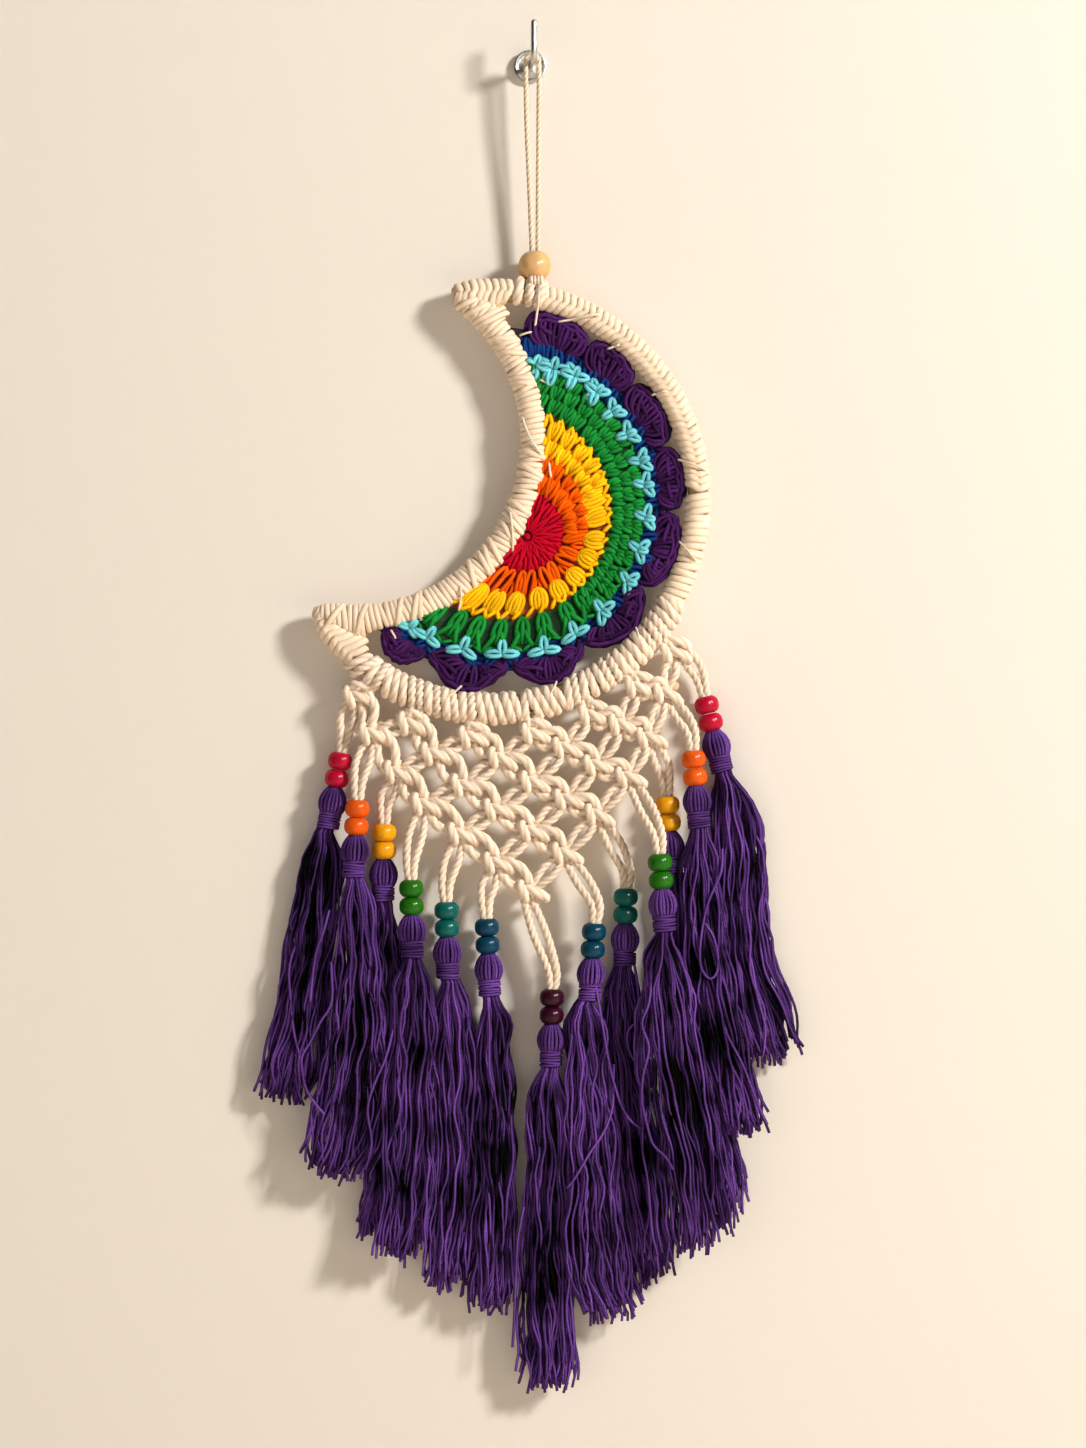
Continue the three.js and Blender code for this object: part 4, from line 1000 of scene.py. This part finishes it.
def edit_selected(kind, wanted):
    """Edit mode on the current object, with only the wanted vertices or faces selected"""
    bpy.ops.object.mode_set(mode="EDIT")
    bpy.ops.mesh.select_mode(type=kind)
    bpy.ops.mesh.select_all(action="DESELECT")
    bpy.ops.object.mode_set(mode="OBJECT")
    mesh = bpy.context.object.data
    for part in mesh.vertices if kind == "VERT" else mesh.polygons:
        part.select = wanted(part)
    bpy.ops.object.mode_set(mode="EDIT")


def turned_bead(name, shape, roundness):
    """A ball, squared a little, with its poles cut away and joined by a bore, upright at the origin"""
    deselect()
    bpy.ops.mesh.primitive_uv_sphere_add(segments=32, ring_count=20, radius=1)
    bead = bpy.context.object
    bead.name = name
    for vertex in bead.data.vertices:
        flat = math.hypot(vertex.co.x, vertex.co.y)
        fuller = flat ** (roundness - 1) if flat > 0 else 1
        vertex.co.x *= shape["radius"] * MM * fuller
        vertex.co.y *= shape["radius"] * MM * fuller
        tall = min(1, abs(vertex.co.z) ** roundness * 1.05)
        vertex.co.z = math.copysign(tall, vertex.co.z) * shape["height"] / 2 * MM
    edit_selected("VERT", lambda vertex: math.hypot(vertex.co.x, vertex.co.y) < shape["bore"] * MM)
    bpy.ops.mesh.delete(type="VERT")
    bpy.ops.mesh.select_all(action="DESELECT")
    bpy.ops.mesh.select_non_manifold()
    bpy.ops.mesh.bridge_edge_loops(number_cuts=2)
    bpy.ops.mesh.select_all(action="SELECT")
    bpy.ops.mesh.normals_make_consistent(inside=False)
    bpy.ops.object.mode_set(mode="OBJECT")
    bpy.ops.object.shade_smooth_by_angle(angle=math.radians(50))
    return bead


def paint_material(name, colour, roughness, coat):
    """Glossy paint or lacquer over turned wood, whose grain shows as an unevenness"""
    material, tree = empty_material(name)
    place = node(tree, "TexCoord").outputs["Object"]
    rings = node(tree, "TexNoise", {"Vector": place, "Scale": 260.0, "Detail": 3.0}).outputs["Fac"]
    dark, light = ([min(1, part * share) for part in linear(colour)[:3]] + [1] for share in (0.6, 1.1))
    relief = node(tree, "Bump", {"Strength": 0.15, "Distance": 0.0002, "Height": rings})
    shader = node(tree, "BsdfPrincipled", {
        "Base Color": mix_colours(tree, rings, dark, light),
        "Normal": relief.outputs[0],
        "Roughness": roughness,
        "Specular IOR Level": 0.05,
        "Coat Weight": coat,
        "Coat Roughness": 0.2,
    })
    put_on_surface(tree, shader.outputs[0])
    return material


BEAD_PAINTS = {
    "red": 0xBC0430, "orange": 0xE85A04, "yellow": 0xEEA206, "green": 0x1E6A08,
    "teal": 0x00605A, "blue": 0x003C56, "plum": 0x34041C,
}
bead_looks = {
    name: paint_material("bead_paint_" + name, colour, 0.5, 0.35) for name, colour in BEAD_PAINTS.items()
}
pattern = turned_bead("bead_pattern", BEAD, 0.78)
for drop in drops:
    colour = drop["name"].split("_")[0]
    lean = math.atan2(drop["slope"][0], -drop["slope"][2])
    for place in ("upper", "lower"):
        mesh = pattern.data.copy()
        at = drop[place] * MM
        for vertex in mesh.vertices:
            x, y, z = vertex.co
            across, up = x * math.cos(lean) - z * math.sin(lean), x * math.sin(lean) + z * math.cos(lean)
            vertex.co = (at[0] + across, at[1] + y, at[2] + up)
        mesh.materials.append(bead_looks[colour])
        piece = put_in_scene(f"painted_bead_{drop['name']}_{place}", mesh)
        fit(piece, [f"bead_{drop['name']}_{place}"])
bpy.data.objects.remove(pattern, do_unlink=True)

wood_look = paint_material("lacquered_wood", 0xE2B47A, 0.35, 0.35)
wood_bead = turned_bead("lacquered_wooden_bead", WOOD_BEAD, 0.94)
for vertex in wood_bead.data.vertices:
    vertex.co += Vector(middle_of("wooden_bead") * MM)
wood_bead.data.materials.append(wood_look)
fit(wood_bead, ["wooden_bead"])

# Tassels: a hank of purple cotton yarn folded over the drop's knot. A yarn is wound round its neck,
# and below that some hundred and twenty cut ends hang, wave and cross, with painted shade that makes
# them darker toward the inside.
TASSEL_HEAD = {"length": 12.5, "radius": 6.7, "neck": 5.0, "neck_length": 8.0, "strands": 21, "turns": 6}
HEAD_PLUG = [(0.2, 2.6), (2, 4.2), (5, 5.4), (9, 5.2), (13, 4.4), (20, 4.2)]  # how far down, radius
TASSEL_YARN = 0.78
LOCKS = 31
LOCK_YARNS = 4
GOLDEN_TURN = 2.39996  # radians from one lock or yarn to the next, so that they spread evenly
LOCK_WAVES = [((0.4, 1.6), (0.05, 0.12)), ((0.3, 1.0), (0.12, 0.22))]  # ranges of size and of rate
YARN_WAVES = [((0.2, 0.7), (0.13, 0.25)), ((0.1, 0.35), (0.25, 0.42))]
SKIRT_FLARE = 16  # how far below its start the skirt has opened
# Tones of the skirt's yarns. Painted shade makes inner locks and about a third of all locks darker, and
# less of it is left near the cut ends.
SKIRT_TONE = {"outside": 0.45, "inward": 1.1, "painted_shade_lock": 0.09, "cut_end_shade_limit": 0.38, "stray": 0.56}
SKIRTS = {  # how much lower its left ends hang than its middle, then height, left edge, right edge
    "red_left": (1, [
        (-376, -110, -93), (-386, -113, -90), (-400, -116, -91), (-440, -121, -95), (-479, -128, -101),
        (-498, -131, -104), (-506, -132, -106),
    ]),
    "orange_left": (-6, [
        (-400, -94, -76), (-430, -96, -72), (-459, -98, -68), (-479, -101, -68), (-508, -108, -67),
        (-533, -112, -72), (-543, -112, -78),
    ]),
    "yellow_left": (-3, [
        (-410, -78, -65), (-430, -78, -63), (-459, -80, -60), (-508, -82, -60), (-547, -83, -64),
        (-571, -83, -72),
    ]),
    "green_left": (-2, [
        (-441, -66, -48), (-449, -69, -46), (-469, -71, -44), (-489, -73, -45), (-533, -76, -45),
        (-557, -77, -47), (-582, -77, -52),
    ]),
    "teal_left": (3, [
        (-449, -47, -30), (-459, -48, -27), (-469, -49, -25), (-489, -50, -23), (-547, -49, -23),
        (-577, -52, -26), (-597, -53, -31),
    ]),
    "blue_left": (-4, [
        (-460, -25, -11), (-469, -28, -8), (-479, -29, -7), (-498, -29, -6), (-557, -29, -5),
        (-587, -31, -6), (-608, -32, -8),
    ]),
    "plum": (0, [
        (-496, 0, 18), (-508, -3, 20), (-528, -4, 21), (-577, -6, 21), (-606, -6, 22), (-626, -6, 23),
        (-646, -5, 23),
    ]),
    "blue_right": (3, [
        (-459, 17, 36), (-469, 16, 38), (-489, 16, 41), (-508, 16, 44), (-538, 15, 46), (-567, 15, 49),
        (-596, 17, 53), (-612, 24, 56),
    ]),
    "teal_right": (1, [
        (-444, 37, 54), (-459, 35, 55), (-479, 34, 58), (-508, 36, 62), (-557, 42, 68), (-593, 49, 70),
    ]),
    "green_right": (12, [
        (-430, 56, 74), (-440, 53, 77), (-459, 51, 82), (-479, 50, 87), (-498, 52, 92), (-518, 54, 96),
        (-538, 56, 99), (-557, 58, 102), (-577, 60, 105),
    ]),
    "yellow_right": (4, [
        (-399, 66, 79), (-420, 66, 80), (-459, 68, 87), (-498, 74, 95), (-538, 80, 103), (-560, 84, 106),
    ]),
    "orange_right": (3, [
        (-376, 75, 91), (-391, 73, 93), (-410, 72, 96), (-435, 74, 100), (-459, 77, 105), (-484, 82, 109),
        (-498, 85, 112), (-508, 87, 115), (-521, 92, 118),
    ]),
    "red_right": (1, [
        (-351, 88, 105), (-361, 88, 112), (-386, 87, 117), (-410, 88, 119), (-435, 90, 120),
        (-459, 95, 126), (-479, 99, 132), (-486, 102, 135),
    ]),
}
STRAYS = {  # single yarns that wander over the front, as across and height
    "red_left": [
        [(-112, -425), (-117.6, -442), (-117, -459), (-115.6, -474), (-112.7, -486), (-110.7, -494)],
    ],
    "orange_left": [
        [(-97, -440), (-96.5, -459), (-102, -469), (-107, -479), (-111, -486), (-110.7, -494),
         (-108.8, -502), (-105, -508), (-100, -514)],
        [(-98, -415), (-100.5, -425), (-104, -435), (-105.8, -447), (-106.8, -459)],
    ],
    "green_left": [[(-66, -470), (-70, -486), (-76, -500), (-79, -512), (-77, -528), (-80, -541)]],
    "plum": [[(-3, -560), (-6, -577), (-6.9, -596), (-7.8, -616), (-8.6, -628)]],
    "blue_right": [
        [(31, -446), (33, -456), (36.8, -479), (40.2, -496), (45, -510.6), (50, -518), (54.4, -520.4)],
        [(41, -490), (40.2, -510.6), (35.8, -523), (29.4, -532.6), (22, -545), (18, -550)],
    ],
    "teal_right": [
        [(50, -436), (52.9, -454), (52.9, -468), (48, -474), (48.5, -483.6), (54, -492.5), (57, -497)],
    ],
    "green_right": [
        [(60, -440), (57.8, -459), (54.4, -469), (57.8, -481), (55, -494), (54.4, -506), (56.8, -518),
         (59.8, -527.7), (65.7, -533.6), (69.6, -540)],
    ],
    "orange_right": [
        [(94, -385), (93.1, -396), (87.2, -410), (84.3, -422), (82.8, -435), (83.8, -443.5), (87.7, -448),
         (91, -445), (91.6, -437), (89.2, -427), (85.3, -421)],
        [(93, -462), (95.6, -474), (103, -488.5), (108.8, -503), (112.7, -513), (115.6, -519)],
    ],
}
# Painted shade: a near-black shade along both sides of each yarn, and a doubled spread of tone, which
# carries the skirt's painted shade
tassel_look = yarn_material("tassel_yarn", 0x6A4194, 0x030008, (2, 0), (3, 0.42), dye_and_shade=2.0, groove=1.4)


def head_radius(share):
    """The head's profile from the bead to the neck, a drop shape"""
    return TASSEL_HEAD["radius"] * math.sin(math.pi * (0.15 + 0.58 * share))


def fold_head(tassel, top, slope, chance):
    """The folded top of the hank: yarns side by side from the bead down to the neck, over a plug"""
    across = np.cross(FRONT, slope)
    for i in range(TASSEL_HEAD["strands"]):
        turn = TURN * (i + chance.uniform(-0.2, 0.2)) / TASSEL_HEAD["strands"]
        facing = across * math.cos(turn) + FRONT * math.sin(turn)
        line = [
            top + slope * TASSEL_HEAD["length"] * share + facing * (head_radius(share) - 0.5)
            for share in np.linspace(0, 1, 7)
        ]
        tone = chance.uniform(0.28, 0.46)
        tassel.lay(smooth_line(line, 1.6), TASSEL_YARN * 1.3, ROUND_5, tone=tone, out=facing)
    # The plug inside the head is given a very dark tone: painted shade between the head's yarns
    plug = [top + slope * down for down, _ in HEAD_PLUG]
    tassel.lay(plug, [radius for _, radius in HEAD_PLUG], ROUND_8, out=FRONT, tone=0.1)


def wind_neck(tassel, top, slope, chance):
    """The yarn wound round the hank below its head"""
    across = np.cross(FRONT, slope)
    turn = np.arange(20) / 20 * TURN
    radial = across * np.cos(turn)[:, None] + FRONT * np.sin(turn)[:, None]
    for i in range(TASSEL_HEAD["turns"]):
        centre = top + slope * (0.4 + i * TASSEL_HEAD["neck_length"] / TASSEL_HEAD["turns"])
        tilt = chance.uniform(-0.5, 0.5)
        line = centre + radial * TASSEL_HEAD["neck"] + slope * (tilt * np.cos(turn))[:, None]
        tassel.lay(line, 0.8, ROUND_5, out=radial, closed=True, tone=chance.uniform(0.26, 0.46))


def skirt_sides(skirt, z):
    """The skirt's middle and half width at each height, from its rows of edges"""
    top, rows = skirt["neck_end"], skirt["rows"]
    heights = [-top[2]] + [-row[0] for row in rows]
    left = np.interp(-z, heights, [top[0] - TASSEL_HEAD["neck"]] + [row[1] for row in rows])
    right = np.interp(-z, heights, [top[0] + TASSEL_HEAD["neck"]] + [row[2] for row in rows])
    return (left + right) / 2, (right - left) / 2


def skirt_depth(skirt, flare):
    """The skirt's middle and half depth, from front to back, where it has opened by flare"""
    start_y = skirt["start"][1]
    middle, half = (skirt["near"] + skirt["far"]) / 2, (skirt["far"] - skirt["near"]) / 2 - TASSEL_YARN
    return start_y + (middle - start_y) * flare, 4.0 + (half - 5.2) * flare


def draw_waves(kinds, chance):
    """The size, phase and rate of each wave"""
    return [(chance.uniform(*size), chance.uniform(0, TURN), chance.uniform(*rate)) for size, rate in kinds]


def hang_lock(tassel, skirt, number, chance):
    """Yarns that wave and drift together. The locks spiral from the skirt's middle to its outside,
    with painted shade darker toward the middle.
    """
    turn, out = number * GOLDEN_TURN, ((number + 0.5) / LOCKS) ** 0.7
    aside, behind = out * math.cos(turn), out * math.sin(turn)
    lock_waves = draw_waves(LOCK_WAVES, chance)
    drift = np.array([chance.gauss(0, 2.6), chance.gauss(0, 1.6)])
    twist, lock_drop = chance.uniform(-0.05, 0.05), chance.uniform(-4, 4)
    # Painted shade: locks near the middle are darker, and some locks are darker still
    lock_tone = SKIRT_TONE["outside"] + min(0, out - 0.85) * SKIRT_TONE["inward"]
    lock_tone -= SKIRT_TONE["painted_shade_lock"] * (chance.random() < 0.35)
    start = skirt["start"]
    for i in range(LOCK_YARNS):
        turn_in_lock, spread = i * GOLDEN_TURN + number, 1.35 * math.sqrt((i + 0.3) / LOCK_YARNS)
        waves = lock_waves + draw_waves(YARN_WAVES, chance)
        wander = drift + np.array([chance.gauss(0, 1.5), chance.gauss(0, 0.9)])
        curl = np.array([chance.uniform(-3.4, 3.4), chance.uniform(-2, 2)])
        hem = skirt["rows"][-1][0] + skirt["slant"] * aside + 4 * aside**2 + lock_drop
        length = start[2] - (hem + chance.uniform(-4, 7))
        run = np.append(np.arange(0, length - 2.5, 4.2 if out > 0.4 else 8), length)
        share, z = run / length, start[2] - run
        flare, curling = ease(run / SKIRT_FLARE), ease((run - length + 24) / 30) ** 2
        middle_x, half_x = skirt_sides(skirt, z)
        middle_y, half_y = skirt_depth(skirt, flare)
        reach = TASSEL_HEAD["neck"] - 1.6 + (half_x - 2.3 - TASSEL_HEAD["neck"] + 1.6) * flare
        x = middle_x + aside * reach + wander[0] * share**1.5 + curl[0] * curling
        y = middle_y + behind * half_y + (wander[1] * share**1.5 + curl[1] * curling)
        spread = spread * (0.5 + 0.5 * flare) * (1 + 0.5 * share)
        x += spread * np.cos(turn_in_lock + twist * run)
        y += spread * np.sin(turn_in_lock + twist * run)
        for size, phase, rate in waves:
            x += size * flare * np.sin(phase + rate * run)
            y += size * 0.5 * flare * np.cos(phase * 1.7 + rate * run)
        y = np.clip(y, skirt["near"] + 0.9, skirt["far"] - 0.9)
        tone = max(0.03, lock_tone + chance.uniform(-0.3, 0.24))
        # Painted shade lessens toward the cut ends, where the yarns spread apart
        tone = tone + max(0, SKIRT_TONE["cut_end_shade_limit"] - tone) * ease((run - length + 34) / 26)
        line = np.stack([x, y, z], axis=1)
        tassel.lay(line, TASSEL_YARN * chance.uniform(0.88, 1.06), ROUND_5, tone=tone)


def lay_stray(tassel, skirt, route):
    line = []
    for n, (x, z) in enumerate(route):
        middle, half = skirt_depth(skirt, ease((skirt["start"][2] - z) / SKIRT_FLARE))
        tucked_in = 4 if n == 0 else 0
        line.append((x, max(middle - half - 0.9 + tucked_in, skirt["near"] + 0.9), z))
    tassel.lay(smooth_line(line, 2.5), TASSEL_YARN, ROUND_5, tone=SKIRT_TONE["stray"])


for drop in drops:
    name, slope = drop["name"], drop["slope"]
    chance = random.Random(name)
    head_top = drop["lower"] + slope * (BEAD["height"] / 2 + 0.2)
    neck_top = head_top + slope * TASSEL_HEAD["length"]
    neck_end = neck_top + slope * TASSEL_HEAD["neck_length"]
    tassel = Strands()
    fold_head(tassel, head_top, slope, chance)
    wind_neck(tassel, neck_top, slope, chance)
    slant, rows = SKIRTS[name]
    near, far = (corner[1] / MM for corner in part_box("tassel_" + name))
    skirt = {
        "rows": rows, "slant": slant, "near": near, "far": far,
        "neck_end": neck_end, "start": neck_end - slope * 2.5,
    }
    for number in range(LOCKS):
        hang_lock(tassel, skirt, number, chance)
    for route in STRAYS.get(name, []):
        lay_stray(tassel, skirt, route)
    tassel.make("yarn_tassel_" + name, tassel_look, "tassel_yarn", ["tassel_" + name])

# Hook: a plated steel screw hook. Its wire runs forward from the middle of a round plate and is bent
# up, and the plate is dished inside its rim.
HOOK = {"wire": 1.6, "lean": 2, "reach": 21}
PLATE = {"radius": 8, "thickness": 2.4, "rim": 1.3, "dish": 0.7, "bevel": 0.3}
HOOK_ROUTE = [(1.5, 0), (6, 0), (11, 0), (16, 0), (19.7, 1.3), (21, 4.5), (21, 9), (21, 14), (21, 18)]


def steel_material():
    material, tree = empty_material("plated_steel")
    place = node(tree, "TexCoord").outputs["Object"]
    scratches = node(tree, "TexNoise", {"Vector": place, "Scale": 900.0, "Detail": 4.0}).outputs["Fac"]
    relief = node(tree, "Bump", {"Strength": 0.1, "Distance": 0.0001, "Height": scratches})
    shader = node(tree, "BsdfPrincipled", {
        "Base Color": mix_colours(tree, scratches, (0.42, 0.41, 0.39, 1), (0.72, 0.7, 0.67, 1)),
        "Roughness": maths(tree, "ADD", 0.2, maths(tree, "MULTIPLY", scratches, 0.22)),
        "Normal": relief.outputs[0],
        "Metallic": 1.0,
    })
    put_on_surface(tree, shader.outputs[0])
    return material


steel_look = steel_material()
hook_line = []
for depth, z in HOOK_ROUTE:
    lean = HOOK["lean"] * max(depth - PLATE["thickness"], 0) / (HOOK["reach"] - PLATE["thickness"])
    hook_line.append((lean, -depth, z))
hook_line = smooth_line(hook_line, 0.8)
tip = hook_line[-1]
hook_line = np.vstack([hook_line, tip + [0, 0, 0.6], tip + [0, 0, 1.0]])
hook_radii = np.full(len(hook_line), HOOK["wire"])
hook_radii[-2:] *= [0.8, 0.35]
hook = Strands()
hook.lay(hook_line, hook_radii, round_section(20), out=np.array([1.0, 0, 0]))
hook.make("steel_hook_wire", steel_look, "steel", ["hook_wire"])

deselect()
bpy.ops.mesh.primitive_cylinder_add(
    vertices=64,
    radius=PLATE["radius"] * MM,
    depth=PLATE["thickness"] * MM,
    location=(0, -PLATE["thickness"] / 2 * MM, 0),
    rotation=(math.radians(90), 0, 0),
)
plate = bpy.context.object
plate.name = "steel_hook_plate"
bpy.ops.object.transform_apply(location=True, rotation=True, scale=True)
edit_selected("FACE", lambda face: face.normal.y < -0.9)
bpy.ops.mesh.inset(thickness=PLATE["rim"] * MM)
bpy.ops.mesh.inset(thickness=PLATE["dish"] * MM, depth=-PLATE["dish"] * MM)
bpy.ops.object.mode_set(mode="OBJECT")
bevel = plate.modifiers.new("bevel", "BEVEL")
bevel.width = PLATE["bevel"] * MM
bevel.segments = 3
bpy.ops.object.modifier_apply(modifier="bevel")
bpy.ops.object.shade_smooth_by_angle(angle=math.radians(35))
plate.data.materials.append(steel_look)
fit(plate, ["hook_plate"])

# Stage: a pale, matt floor below the hanging and a pale, matt backdrop behind it, which catches its
# shadows. From behind, the backdrop lets the camera and the light through.
STAGE_SIZE = 6


def plain_material(name, colour, one_sided=False):
    material, tree = empty_material(name)
    shader = node(tree, "BsdfDiffuse", {"Color": linear(colour)}).outputs[0]
    if one_sided:
        clear = node(tree, "BsdfTransparent").outputs[0]
        behind = node(tree, "NewGeometry").outputs["Backfacing"]
        let_light_by = node(tree, "LightPath").outputs["Is Shadow Ray"]
        share = maths(tree, "MAXIMUM", behind, let_light_by)
        shader = node(tree, "MixShader", {0: share, 1: shader, 2: clear}).outputs[0]
    put_on_surface(tree, shader)
    return material


def stage_plane(name, look, location, rotation=(0, 0, 0)):
    deselect()
    bpy.ops.mesh.primitive_plane_add(size=STAGE_SIZE, location=location, rotation=rotation)
    plane = bpy.context.object
    plane.name = name
    plane.data.materials.append(look)
    return plane


floor = stage_plane("floor", plain_material("pale_floor", 0xEADFCF), (0, -2.9, -0.8))
backdrop_look = plain_material("pale_backdrop", 0xE2DBD2, one_sided=True)
backdrop = stage_plane("backdrop", backdrop_look, (0, 0.0006, 0), (math.radians(90), 0, 0))

# Light: a small strong light at the upper right, weak ones at the left and behind, and one that
# shows only as a glint in paint, lacquer and metal. Faint light comes from all round.
SURROUNDINGS = {"colour": (1.0, 0.96, 0.9, 1), "strength": 0.15, "less_in_gloss": 0.12}
AIM = Vector((0, 0, -0.3))
LIGHTS = [  # name, place in metres, size, watts, colour
    ("key", (2.0, -1.5, 0.85), 0.4, 92, (1.0, 0.965, 0.91)),
    ("fill", (-1.2, -1.8, -0.2), 1.6, 6, (1.0, 0.97, 0.93)),
    ("back", (0.6, 1.6, 0.4), 1.2, 11, (1.0, 0.98, 0.95)),
    ("glint", (0.95, -1.7, 0.35), 0.3, 42, (1.0, 0.98, 0.95)),
]
world = bpy.data.worlds.new("studio")
bpy.context.scene.world = world
world.use_nodes = True
tree = world.node_tree
background = tree.nodes["Background"].inputs
background[0].default_value = SURROUNDINGS["colour"]
in_gloss = node(tree, "LightPath").outputs["Is Glossy Ray"]
less = maths(tree, "MULTIPLY", in_gloss, SURROUNDINGS["less_in_gloss"])
tree.links.new(maths(tree, "SUBTRACT", SURROUNDINGS["strength"], less), background[1])
for name, at, size, watts, colour in LIGHTS:
    light_data = bpy.data.lights.new(name, "AREA")
    light_data.size = size
    light_data.energy = watts
    light_data.color = colour
    light = put_in_scene(name, light_data)
    light.location = at
    light.rotation_euler = (AIM - light.location).to_track_quat("-Z", "Y").to_euler()
    light.visible_glossy = name in ("key", "glint")
    light.visible_diffuse = name != "glint"
bpy.context.scene.view_settings.view_transform = "Standard"
